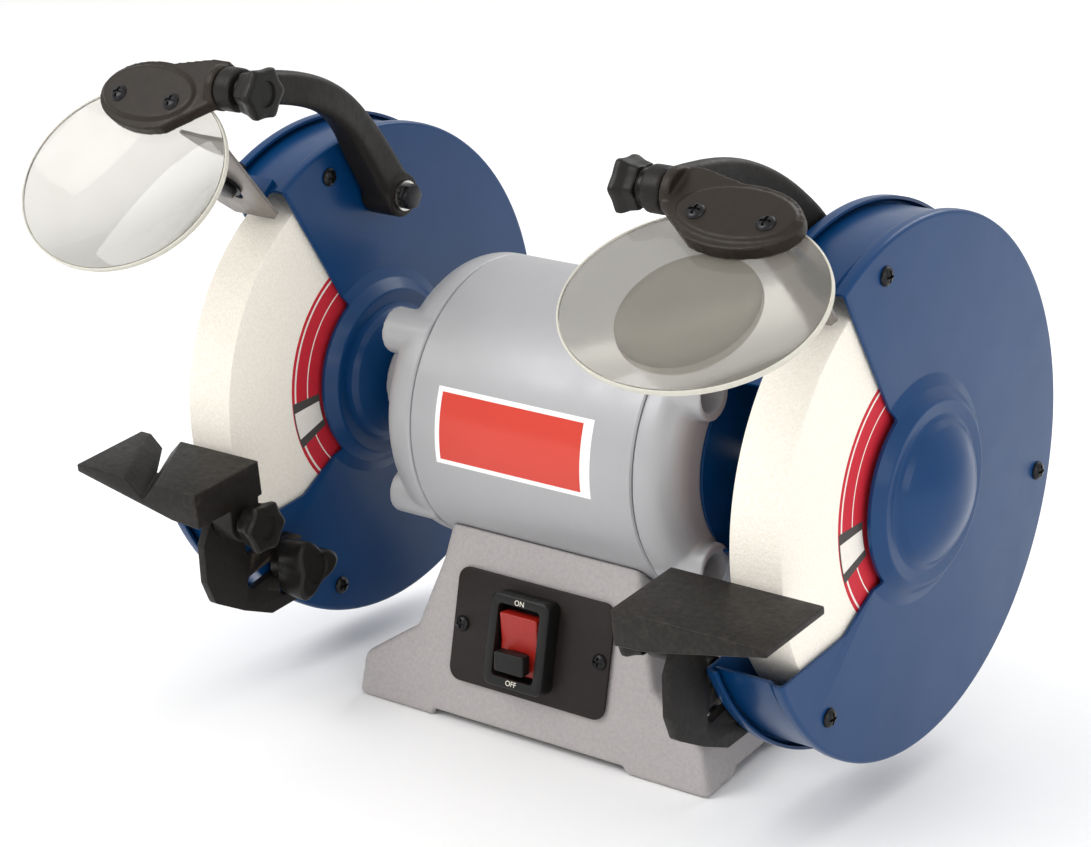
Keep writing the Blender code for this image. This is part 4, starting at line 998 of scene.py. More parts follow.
@dataclass
class Guards:
    """Pressed covers and lipped back plates, with their screws and arrestor tabs."""

    frame: Frame
    wheel_radius: float = 101.5 * MM
    clearance: float = 13.1 * MM
    sheet: float = 1.4 * MM
    lip: float = 2.0 * MM
    running_gap: float = 1.2 * MM
    back_gap: float = 7.0 * MM
    wheel_width: float = 25.0 * MM
    boss_radius: float = 46.0 * MM
    boss_height: float = 7.0 * MM
    dome_radius: float = 31.0 * MM
    dome_height: float = 20.0 * MM
    neck_radius: float = 48.0 * MM
    shaft_hole: float = 13.0 * MM
    mouth_radius: float = 44.0 * MM
    top_angle: float = 56.5
    bottom_angle: float = -45.0
    kink: Point = (0.63, -39.8)  # share of the outer radius, and degrees
    end_angle: float = -27.5
    bend: float = 2.0 * MM
    reach: float = 90.0 * MM
    steps: int = 200

    @property
    def rim(self) -> float:
        """Radius of the guard's rim."""
        return self.wheel_radius + self.clearance

    @property
    def face(self) -> float:
        """Height of the cover's outer face over the wheel's middle."""
        return self.wheel_width / 2 + self.running_gap + self.sheet

    @property
    def back(self) -> float:
        """Height of the back plate's outer face, below the wheel's middle."""
        return -(self.wheel_width / 2 + self.back_gap + self.sheet)

    def mouth(self) -> list[Point]:
        """The opening's outline in Y and Z, with pressed corners.

        Returns:
            The outline.
        """
        far = 1.6 * (self.rim + self.lip)
        hub = [polar(self.mouth_radius,
                     self.top_angle + (self.bottom_angle - self.top_angle) * i / 24) for i in range(25)]
        kink = polar(self.kink[0] * (self.rim + self.lip), self.kink[1])
        end = Vector(polar(self.rim + self.lip, self.end_angle))
        beyond = end + (end - Vector(kink)).normalized() * far / 2
        cut = fillet([polar(self.rim, self.top_angle), *hub, kink, tuple(beyond)], 5 * MM)
        return [polar(far, self.top_angle), *cut[1:],
                polar(far, 10.0)]

    def boss(self, face: float, outward: float, hole: float) -> list[Point]:
        """The pressed dome and ring about the shaft, from the middle out.

        Args:
            face: Height of the sheet's flat face over the wheel's middle.
            outward: The sign of X that the boss stands out to.
            hole: Radius of the hole for the shaft, or zero for none.

        Returns:
            The section's corners.
        """
        count = 14
        dome = []
        for i in range(count):
            t = i / (count - 1)
            crown = 0.38 + 0.62 * math.cos(t * math.pi / 2) ** 0.8
            dome.append((self.dome_radius * t, face + outward * self.dome_height * crown))
        if hole:
            dome = [(hole, dome[3][1])] + [point for point in dome if point[0] > hole + 1 * MM]
        valley = face + outward * self.boss_height * 0.92
        ring = [(self.dome_radius + 2 * MM, valley),
                (self.boss_radius - 7 * MM, face + outward * self.boss_height),
                (self.boss_radius - 2 * MM, face + outward * self.boss_height * 0.35),
                (self.boss_radius + 3 * MM, face)]
        return dome + ring

    def build(self) -> None:
        """Make both guards."""
        for side in Side:
            self.cover(side)
            self.back_plate(side)
        self.screws()

    def middle(self, side: Side) -> float:
        """X of a wheel's middle."""
        low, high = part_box("wheel_" + side.label)
        return (low.x + high.x) / 2

    def pressed(self, corners: list[Point], side: Side, thickness: float) -> Solid:
        """A pressed sheet from its outer corners, with the mouth cut out and its edges broken.

        Args:
            corners: The outer face's section, from the middle out.
            side: The guard's side.
            thickness: The sheet's thickness, negative where the hollow side is the other one.

        Returns:
            The sheet.
        """
        place = self.frame.place(x=self.middle(side))
        outer = fillet(corners, self.bend)
        inner = fillet(self.offset(corners, thickness), self.bend)
        solid = Solid.turned(outer + inner[::-1], place, self.steps, closed=outer[0][0] > 1e-7)
        solid.cut(Solid.prism(self.mouth(), -self.reach, self.reach, place @ IN_YZ))
        return solid.bevel(0.3 * MM, 2, 60)

    def cover(self, side: Side) -> None:
        """The deep cover with its boss on the +X side.

        Args:
            side: The end of the grinder.
        """
        hole = self.shaft_hole if side is Side.LEFT else 0.0
        outer = self.rim + self.lip
        face = self.face
        corners = self.boss(face, 1.0, hole)
        corners += [(outer, face), (outer, face - 5.0 * MM), (self.rim, face - 7.5 * MM),
                    (self.rim, self.back + self.sheet + 1.3 * MM)]
        solid = self.pressed(corners, side, self.sheet)
        solid.piece("guard_cover_" + side.label + "_pressed", BLUE_ENAMEL, "main", "blue_enamel",
                    ["guard_cover_" + side.label], sharp_angle=32)
        self.tab(side)

    @staticmethod
    def offset(corners: Sequence[Point], distance: float) -> list[Point]:
        """The same corners moved towards the sheet's hollow side, with mitred joints.

        Args:
            corners: Points from the middle out.
            distance: The sheet's thickness; a negative one moves them the other way.

        Returns:
            The moved corners.
        """
        moved: list[Point] = []
        for i, corner in enumerate(corners):
            here = Vector(corner)
            near = corners[max(i - 1, 0) : i + 2]
            along = [(Vector(b) - Vector(a)).normalized() for a, b in zip(near, near[1:])]
            normals = [Vector((step.y, -step.x)) for step in (along[0], along[-1])]
            mitre = (normals[0] + normals[1]).normalized()
            x, y = here + mitre * distance / max(mitre.dot(normals[0]), 0.3)
            moved.append((0.0 if corner[0] < 1e-7 else x, y))
        return moved

    def tab(self, side: Side) -> None:
        """The bent tab that carries the arrestor.

        Args:
            side: The end of the grinder.
        """
        place = self.tab_place(side)
        plate = Solid.prism(rounded_rectangle(16 * MM, 21 * MM, 4 * MM), -2 * MM, 0,
                            place @ Matrix.Translation((0, 17 * MM, 0)))
        plate.join(Solid.block((-8 * MM, 6 * MM, -13 * MM), (8 * MM, 9 * MM, -1 * MM), place))
        plate.bevel(0.6 * MM, 2, 50)
        plate.piece("arrestor_tab_" + side.label, BLUE_ENAMEL, "main", "blue_enamel")

    def tab_place(self, side: Side) -> Matrix:
        """The arrestor's own frame: local Y up the plate, local Z out of its front.

        Args:
            side: The end of the grinder.

        Returns:
            The frame, as a matrix.
        """
        low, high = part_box("spark_arrestor_" + side.label)
        y, z = polar(self.wheel_radius + 5.2 * MM, 53.3)
        return self.frame.place(x=(low.x + high.x) / 2, y=y, z=z, turn_x=180 - 48.7)

    def back_plate(self, side: Side) -> None:
        """The lipped plate on the -X side; the right one carries the neck to the motor.

        Args:
            side: The end of the grinder.
        """
        back = self.back
        outer = self.rim + self.lip + self.sheet
        if side is Side.LEFT:
            corners = self.boss(back, -1.0, 0.0)
        else:
            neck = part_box("guard_back_right")[0].x - self.middle(side)
            corners = [(self.shaft_hole, neck), (self.neck_radius, neck), (self.neck_radius, back - 5 * MM),
                       (self.neck_radius + 5 * MM, back)]
        corners += [(outer, back), (outer, back + 5.5 * MM)]
        self.pressed(corners, side, -self.sheet).piece(
            "guard_back_" + side.label + "_pressed", BLUE_ENAMEL, "main", "blue_enamel",
            ["guard_back_" + side.label], sharp_angle=32)

    def screws(self) -> None:
        """Six black pan heads, one for each cover screw of the frame."""
        spots, names = [], []
        for name in self.frame.nodes:
            if name.startswith("cover_screw"):
                low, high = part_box(name)
                spots.append((Vector((high.x - 2.4 * MM, (low.y + high.y) / 2, (low.z + high.z) / 2)),
                              Vector((1, 0, 0))))
                names.append(name)
        ScrewHeads(4.2 * MM, 2.4 * MM).place("cover_screws", spots, BLACK_OXIDE, "main", "zinc_steel", names)


@dataclass
class Motor:
    """Painted motor: rolled shell, two cast end bells and the sticker."""

    frame: Frame
    wall: float = 3.5 * MM
    rounding: float = 15.0 * MM
    lug_radius: float = 10.5 * MM
    lug_inset: float = 9.5 * MM
    lug_reach: float = 6.0 * MM
    scoop_depth: float = 15.0 * MM
    scoop_shift: float = 2.2 * MM
    sticker_x: tuple[float, float] = (-45.5 * MM, 38.5 * MM)
    sticker_angles: tuple[float, float] = (-10.5, 20.2)
    border_left: float = 2.5 * MM
    border_right: float = 5.2 * MM
    border_edge: float = 2.2 * MM

    def build(self) -> None:
        """Make the shell, bells, sticker and tie bolts."""
        low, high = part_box("motor_shell")
        self.radius, self.seam = (high.z - low.z) / 2, (high.x - low.x) / 2
        edge = 0.7 * MM
        section = [(self.radius - 3 * MM, -self.seam), (self.radius - edge, -self.seam),
                   (self.radius, edge - self.seam),
                   (self.radius, self.seam - edge), (self.radius - edge, self.seam),
                   (self.radius - 3 * MM, self.seam)]
        Solid.turned(section, self.frame.place(), 200).piece(
            "rolled_shell", MOTOR_PAINT, "main", "grey_paint", ["motor_shell"])
        for side in Side:
            self.bell(side)
        self.sticker()

    def bell(self, side: Side) -> None:
        """A rounded bell with four scooped lugs.

        Args:
            side: The end of the grinder.
        """
        sign = side.value
        low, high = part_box("end_bell_" + side.label)
        reach = high.x if sign > 0 else -low.x
        seam, end = self.seam + 0.3 * MM, self.seam + 20.3 * MM
        outer: list[Point] = [(9.5 * MM, sign * (reach if side is Side.LEFT else end))]
        if side is Side.LEFT:
            outer += [(21.7 * MM, sign * reach), (21.7 * MM, sign * end)]
        for i in range(9):
            turn = math.radians(90 - 90 * i / 8)
            outer.append((self.radius - self.rounding * (1 - math.cos(turn)),
                          sign * (end - self.rounding * (1 - math.sin(turn)))))
        outer.append((self.radius, sign * seam))
        inner: list[Point] = [(self.radius - self.wall, sign * seam),
                              (self.radius - self.wall, sign * (end - self.rounding)),
                              (self.radius - self.rounding, sign * (end - self.wall)),
                              (9.5 * MM, sign * (end - self.wall))]
        bell = Solid.turned(outer + inner, self.frame.place(), 128)
        spots, bowls = [], []
        for i in range(4):
            y, z = polar(self.radius - self.lug_inset, 41 if i == 0 else (45 + 90 * i))
            place = self.frame.place(y=y, z=z)
            top = sign * (end + self.lug_reach)
            bell.join(Solid.rod(self.lug_radius, sign * seam, top, place))
            floor = sign * (end - self.scoop_depth)
            bowl = [(0, floor), (4.8 * MM, floor), (8.6 * MM, top + sign * 2 * MM), (0, top + sign * 2 * MM)]
            out = Vector((0, y, z)).normalized() * self.scoop_shift
            bowls.append(Solid.turned(bowl, self.frame.place(y=y + out.y, z=z + out.z), 48, closed=False))
            spots.append((self.frame.centre + Vector((floor + sign * 0.6 * MM, y + out.y, z + out.z)),
                          Vector((sign, 0, 0))))
        keep = Solid.rod(self.radius + 1.2 * MM, -THROUGH, THROUGH, self.frame.place(), 128)
        bell.fit(keep, Fit.KEEP).cast(0.95 * MM, 5)
        for bowl in bowls:
            bell.cut(bowl)
        bell.piece("cast_end_bell_" + side.label, MOTOR_PAINT, "main", "grey_paint",
                   ["end_bell_" + side.label],
                   sharp_angle=60)
        heads = ScrewHeads(3.6 * MM, 2.2 * MM)
        heads.place("tie_bolt_heads_" + side.label, spots, ZINC, "main", "zinc_steel")

    def sticker(self) -> None:
        """A plain red panel with a white border, wrapped on the shell."""
        layers = ((0.0, 0.12 * MM, STICKER_WHITE, "sticker_border"),
                  (1.0, 0.2 * MM, STICKER_RED, "sticker_panel"))
        for inset, height, finish, name in layers:
            low_x = self.sticker_x[0] + inset * self.border_left
            high_x = self.sticker_x[1] - inset * self.border_right
            spread = math.degrees(inset * self.border_edge / self.radius)
            start, end = self.sticker_angles[0] + spread, self.sticker_angles[1] - spread
            rings = []
            for x in (low_x, high_x):
                outer = [polar(self.radius + height, start + (end - start) * i / 24) for i in range(25)]
                inner = [polar(self.radius - 0.1 * MM, end + (start - end) * i / 24) for i in range(25)]
                rings.append([(x, y, z) for y, z in outer + inner])
            Solid.loft(rings, self.frame.place()).piece(name, finish, "main", "grey_paint")


@dataclass
class Base:
    """Cast pedestal, switch and the fittings on it."""

    frame: Frame
    plate_width: float = 86.0 * MM
    plate_height: float = 52.0 * MM
    slope: float = 0.1925
    housing_width: float = 32.0 * MM
    housing_height: float = 42.0 * MM
    front: float = 11.1 * MM

    def build(self) -> None:
        """Make the base and everything on it."""
        Solid.node_copy(self.frame.nodes["base_pedestal"]).cast(1.15 * MM, 6).piece(
            "cast_base", TEXTURED_PAINT, "main", "grey_casting", ["base_pedestal"], sharp_angle=60)
        self.switch()

    def place(self) -> Matrix:
        """The switch's frame: local X right, Y up the face and Z outwards.

        Returns:
            The frame, as a matrix.
        """
        low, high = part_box("switch_plate")
        lean = math.atan(self.slope)
        middle = (low + high) / 2
        out = Vector((0, -math.cos(lean), math.sin(lean)))
        spot = middle - out * 1.35 * MM
        return at(spot, 90 - math.degrees(lean))

    def switch(self) -> None:
        """Plate, housing with its well, paddle, key and the plate's screws."""
        place = self.place()
        plate = Solid.prism(rounded_rectangle(self.plate_width, self.plate_height, 6 * MM), 0.6 * MM,
                            2.1 * MM, place)
        plate.bevel(0.45 * MM, 2, 40).piece("switch_plate_painted", PLATE_PAINT, "main", "black_plastic",
                                            ["switch_plate"])
        width, height = self.housing_width, self.housing_height
        low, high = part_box("switch_housing")
        flush = place @ Matrix.Translation(((low.x + high.x) / 2 - place.translation.x, 0, 0))
        housing = Solid.prism(rounded_rectangle(width, height, 4 * MM), 1.5 * MM, self.front, flush)
        housing.bevel(1.4 * MM, 3, 50)
        well = Solid.prism(rounded_rectangle(width - 9.4 * MM, height - 9.4 * MM, 2 * MM), -6 * MM, 0.03,
                           flush)
        housing.cut(well).bevel(0.5 * MM, 2, 60)
        housing.piece("switch_housing_moulded", BLACK_NYLON, "main", "black_plastic", ["switch_housing"])
        for node, finish, slot, edge in (("switch_paddle", RED_NYLON, "red_plastic", 0.9 * MM),
                                         ("lock_key", BLACK_NYLON, "black_plastic", 0.8 * MM)):
            Solid.node_copy(self.frame.nodes[node]).bevel(edge, 3, 30).piece(
                node + "_moulded", finish, node, slot, [node])
        spots = []
        for name in ("switch_screw_left", "switch_screw_right"):
            low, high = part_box(name)
            out = place.to_3x3() @ Vector((0, 0, 1))
            local = place.inverted() @ ((low + high) / 2)
            spots.append((place @ Vector((local.x, 0, 2.3 * MM)), out))
        ScrewHeads(3.6 * MM, 2.0 * MM).place("plate_screws", spots, BLACK_OXIDE, "main", "zinc_steel",
                                             ["switch_screw_left", "switch_screw_right"])
        for word, y in (("ON", height / 2 - 4.1 * MM), ("OFF", 1.7 * MM - height / 2)):
            self.print_word(word, flush, y)

    def print_word(self, word: str, place: Matrix, y: float) -> None:
        """One generic word in ink on the housing's rim.

        Args:
            word: The word.
            place: The housing's frame.
            y: Height of the word's foot up the face.
        """
        curve = bpy.data.curves.new(word, "FONT")
        curve.body = word
        curve.align_x = "CENTER"
        curve.size = 3.4 * MM
        curve.extrude = 0.05 * MM
        text = bpy.data.objects.new(word, curve)
        bpy.context.scene.collection.objects.link(text)
        depsgraph = bpy.context.evaluated_depsgraph_get()
        mesh = bpy.data.meshes.new_from_object(text.evaluated_get(depsgraph), depsgraph=depsgraph)
        bpy.data.objects.remove(text)
        mesh.transform(place @ Matrix.Translation((0, y, self.front + 0.05 * MM)))
        Solid(mesh).piece("ink_" + word.lower(), WHITE_INK, "main", "black_plastic")


@dataclass
class Knob:
    """A moulded hand knob on a zinc stud; its boss faces the work and its cap faces the motor."""

    radius: float
    collar: float
    lobes: int = 6
    depth: float = 0.15
    sharpness: float = 1.2
    waist: float = 0.80
    thickness: float = 0.85

    def ring(self, scale: float, height: float) -> list[Point3]:
        """One section of the knob at a height.

        Args:
            scale: Share of the knob's full radius.
            height: Height of the section over the seat.

        Returns:
            The points of the section.
        """
        count = 120
        points = []
        for i in range(count):
            turn = 2 * math.pi * i / count
            share = abs(math.sin(self.lobes * turn / 2)) ** self.sharpness
            r = self.radius * scale * (1 - self.depth * share)
            points.append((r * math.cos(turn), r * math.sin(turn), height))
        return points

    def build(self, node: str, sign: int, seat: Vector, stud_end: float) -> None:
        """Make the knob in place of a CAD node that has a body of its own.

        Args:
            node: The CAD node, also the body's name.
            sign: The side's sign; the knob lies towards the motor from its seat.
            seat: Where the collar meets the clamped piece.
            stud_end: X of the stud's free end.
        """
        thick = self.radius * self.thickness
        place = at(seat) @ IN_YZ @ Matrix.Diagonal((1, 1, -sign, 1))
        heights = ((0.0, self.waist), (0.35, self.waist + 0.06), (0.72, 1.0), (0.93, 1.0), (1.0, 0.86))
        knob = Solid.loft([self.ring(scale, self.collar + thick * share) for share, scale in heights], place)
        boss = arc((0, 0), self.radius * 0.58, 0, 352.5, 48)
        knob.join(Solid.prism(boss, 0.0, self.collar + 1 * MM, place))
        knob.cast(0.45 * MM, 4)
        dish = [(0, 0), (self.radius * 0.45, 0), (self.radius * 0.5, 1.6 * MM), (0, 1.6 * MM)]
        cap = place @ Matrix.Translation((0, 0, self.collar + thick - 1.0 * MM))
        knob.cut(Solid.turned(dish, cap @ X_TO_Z, 48, closed=False))
        knob.piece(node + "_moulded", BLACK_PHENOLIC, node, "black_plastic", [node], sharp_angle=50)
        low, high = sorted((0.0, stud_end - seat.x))
        stud = [(0, low), (2.6 * MM, low), (3 * MM, low + 0.4 * MM), (3 * MM, high - 0.4 * MM),
                (2.6 * MM, high), (0, high)]
        Solid.turned(stud, at(seat), 32, closed=False).piece(node + "_stud", ZINC, node, "zinc_steel")


@dataclass
class ShieldPose:
    """How one eye shield is set: the arm's rise and the lens's slope, in degrees."""

    arm_rise: float
    lens_slope: float


@dataclass
class Shields:
    """Cast arms, lens holders, clear lenses and their knobs."""

    frame: Frame
    poses: dict = field(default_factory=lambda: {Side.LEFT: ShieldPose(31.5, 50.0),
                                                 Side.RIGHT: ShieldPose(26.0, 33.4)})
    arm_length: float = 127.0 * MM
    arm_rise: float = 19.5 * MM
    arm_height: float = 15.0 * MM
    arm_width: float = 18.0 * MM
    eye_x: float = 112.2 * MM
    eye_width: float = 9.0 * MM
    eye_radius: float = 9.5 * MM
    lens_x: float = 152.6 * MM
    half_width: float = 55.1 * MM
    half_height: float = 44.8 * MM
    lens_thickness: float = 2.5 * MM
    lens_drop: float = 3.0 * MM
    lens_reach: float = 47.0 * MM
    pad_half_width: float = 28.5 * MM
    pad_half_height: float = 16.5 * MM
    pad_reach: float = 10.5 * MM
    pad_thickness: float = 7.6 * MM

    def build(self) -> None:
        """Make both shields."""
        for side in Side:
            self.arm(side)
            self.holder(side)
            self.lens(side)
            eye = self.frame.pivot("shield_tilt_" + side.label)
            sign = side.value
            seat = Vector((sign * (self.eye_x - self.eye_width / 2 - 0.3 * MM), eye.y, eye.z))
            Knob(12 * MM, 3 * MM).build("shield_knob_" + side.label, sign, seat,
                                        sign * (self.eye_x + self.eye_width / 2 + 4 * MM))

    def arm(self, side: Side) -> None:
        """A curved cast arm with a boss at the guard and an eye at the lens.

        Args:
            side: The end of the grinder.
        """
        sign = side.value
        pivot = self.frame.pivot("shield_raise_" + side.label)
        foot_low, foot_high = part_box("shield_arm_" + side.label)
        xs = sorted((abs(foot_low.x), abs(foot_high.x)))
        foot = (xs[1] - self.arm_width, xs[1])
        eye = (self.eye_x - self.eye_width / 2, self.eye_x + self.eye_width / 2)
        place = at((0, pivot.y, pivot.z), -self.poses[side].arm_rise)
        rings = []
        count = 36
        for i in range(count + 1):
            u = i / count
            slope = math.atan2(self.arm_rise * math.pi * math.cos(math.pi * u), -self.arm_length)
            normal = Vector((0, -math.sin(slope), math.cos(slope)))
            half = self.arm_height / 2 * (1.25 - 0.25 * min(1.0, 3 * u))
            blend = min(1.0, max(0.0, (u - 0.15) / 0.55))
            blend = blend * blend * (3 - 2 * blend)
            near = foot[0] + (eye[0] - foot[0]) * blend + 0.4 * MM
            far = foot[1] + (eye[1] - foot[1]) * blend - 0.4 * MM
            middle = Vector((0, -self.arm_length * u, self.arm_rise * math.sin(math.pi * u)))
            ring = []
            for x, h in rounded_rectangle(far - near, 2 * half, 3.5 * MM, 4):
                ring.append(tuple(middle + normal * h + Vector((sign * (x + (near + far) / 2), 0, 0))))
            rings.append(ring)
        arm = Solid.loft(rings, place)
        for centre, radius, span in (((0, -self.arm_length, 0), self.eye_radius, eye),
                                     ((0, 0, 0), self.arm_height * 0.68, foot)):
            low, high = sorted((sign * span[0], sign * span[1]))
            arm.join(Solid.rod(radius, low, high, place @ Matrix.Translation(centre)))
        for y in (0.0, -self.arm_length):
            arm.cut(Solid.rod(STUD_HOLE, -THROUGH, THROUGH, place @ Matrix.Translation((0, y, 0)), 32))
        arm.cast(0.8 * MM, 7)
        arm.piece("cast_shield_arm_" + side.label, CAST_BLACK, "shield_arm_" + side.label, "black_iron",
                  ["shield_arm_" + side.label], sharp_angle=60)
        self.pivot_bolt(side, foot[0])

    def pivot_bolt(self, side: Side, head_x: float) -> None:
        """Hex head with a washer on the arm's pivot.

        Args:
            side: The end of the grinder.
            head_x: Distance of the arm's near face from the grinder's middle.
        """
        sign = side.value
        low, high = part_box("arm_bolt_" + side.label)
        middle = (low + high) / 2
        place = at((0, middle.y, middle.z))
        start = head_x - 0.3 * MM
        span = sorted((sign * start, sign * (start - 1.2 * MM)))
        Solid.rod(7 * MM, *span, place).piece("arm_washer_" + side.label, ZINC, "main", "zinc_steel")
        outline = arc((0, 0), 6.2 * MM, 0, 300, 6)
        span = sorted((sign * (start - 1.2 * MM), sign * (start - 5.4 * MM)))
        head = Solid.prism(outline, span[0], span[1], place @ IN_YZ).bevel(0.5 * MM, 2, 40)
        shank = sorted((sign * (start - 1 * MM), sign * abs(high.x if sign > 0 else low.x)))
        head.join(Solid.rod(3 * MM, *shank, place, 32))
        head.piece("arm_bolt_" + side.label + "_hex", BLACK_OXIDE, "main", "zinc_steel",
                   ["arm_bolt_" + side.label])

    def hinge_place(self, side: Side) -> Matrix:
        """The lens's frame on its hinge: local -Y runs down the lens and local Z out of its front."""
        eye = self.frame.pivot("shield_tilt_" + side.label)
        return at((0, eye.y, eye.z), self.poses[side].lens_slope)

    def holder(self, side: Side) -> None:
        """A cast pad with a raised oval, a neck to the collar, and two screws.

        Args:
            side: The end of the grinder.
        """
        sign = side.value
        place = self.hinge_place(side)
        low = self.lens_thickness / 2 - self.lens_drop + 0.3 * MM
        neck = self.eye_x + self.eye_width / 2 + 0.3 * MM
        outline = [(sign * neck, self.pad_reach), (sign * (neck + 10 * MM), self.pad_reach)]
        for i in range(25):
            turn = math.radians(80 + 220 * i / 24)
            outline.append((sign * (self.lens_x - self.pad_half_width * math.cos(turn)),
                            self.pad_half_height * math.sin(turn) - self.pad_reach))
        outline.append((sign * (neck + 1.5 * MM), -self.pad_reach))
        holder = Solid.prism(outline, low, low + self.pad_thickness - 1.6 * MM, place)
        oval = ellipse((sign * (self.lens_x + 0.5 * MM), -self.pad_reach + 0.6 * MM), 26 * MM, 13.2 * MM, 96)
        holder.join(Solid.prism(oval, low, low + self.pad_thickness - 0.1 * MM, place).bevel(1.0 * MM, 2, 50))
        span = sorted((sign * neck, sign * (neck + 4.5 * MM)))
        holder.join(Solid.rod(self.pad_reach - 0.5 * MM, *span, place, 64))
        holder.cast(0.7 * MM, 5)
        body = "shield_" + side.label
        holder.piece("cast_lens_holder_" + side.label, HOLDER_BROWN, body, "black_iron",
                     ["lens_holder_" + side.label],
                     sharp_angle=60)
        out = place.to_3x3() @ Vector((0, 0, 1))
        top = low + self.pad_thickness - 0.1 * MM
        spots = [(place @ Vector((sign * (self.lens_x + x), -self.pad_reach - 2.5 * MM, top)), out)
                 for x in (-15.5 * MM, 15.5 * MM)]
        heads = ScrewHeads(4.0 * MM, 1.7 * MM, recess_width=1.2 * MM)
        heads.place("holder_screws_" + side.label, spots, BLACK_OXIDE, body, "zinc_steel")

    def lens(self, side: Side) -> None:
        """An oval sheet with a sawn edge; the right one has a round magnifier under it.

        Args:
            side: The end of the grinder.
        """
        sign = side.value
        place = self.hinge_place(side)
        half = self.lens_thickness / 2
        centre = (sign * self.lens_x, -self.lens_reach)
        body = "shield_" + side.label
        rim = 0.9 * MM
        sheet = Solid.prism(ellipse(centre, self.half_width - rim, self.half_height - rim, 160),
                            -self.lens_drop - half,
                            half - self.lens_drop, place)
        finish = CLEAR_SHEET if side is Side.LEFT else HAZY_SHEET
        sheet.bevel(0.3 * MM, 2, 60).piece("lens_sheet_" + side.label, finish, body, "clear_plastic",
                                           ["lens_" + side.label])
        outer = ellipse(centre, self.half_width, self.half_height, 160)
        inner = ellipse(centre, self.half_width - rim + 0.05 * MM, self.half_height - rim + 0.05 * MM, 160)
        edge = Solid.prism(outer, -self.lens_drop - half + 0.1 * MM, half - self.lens_drop - 0.1 * MM, place)
        edge.cut(Solid.prism(inner, -0.02, 0.02, place)).bevel(0.3 * MM, 2, 60)
        edge.piece("lens_edge_" + side.label, FROSTED_EDGE, body, "clear_plastic")
        if side is Side.RIGHT:
            radius, crown, rim_height = 28 * MM, 2.6 * MM, 1.6 * MM
            under = -self.lens_drop - half - 0.15 * MM
            count = 16
            dome = [(radius * math.sin(t), under - rim_height - crown * math.cos(t))
                    for t in (math.pi / 2 * i / count for i in range(count + 1))]
            spot = place @ Matrix.Translation((sign * self.lens_x, -self.lens_reach - 4.5 * MM, 0)) @ X_TO_Z
            profile = [(0, under)] + [(radius, under)] + [(r, h) for r, h in dome[::-1]]
            Solid.turned(profile, spot, 96, closed=False).piece(
                "magnifier", MILKY_LENS, body, "clear_plastic", sharp_angle=50)


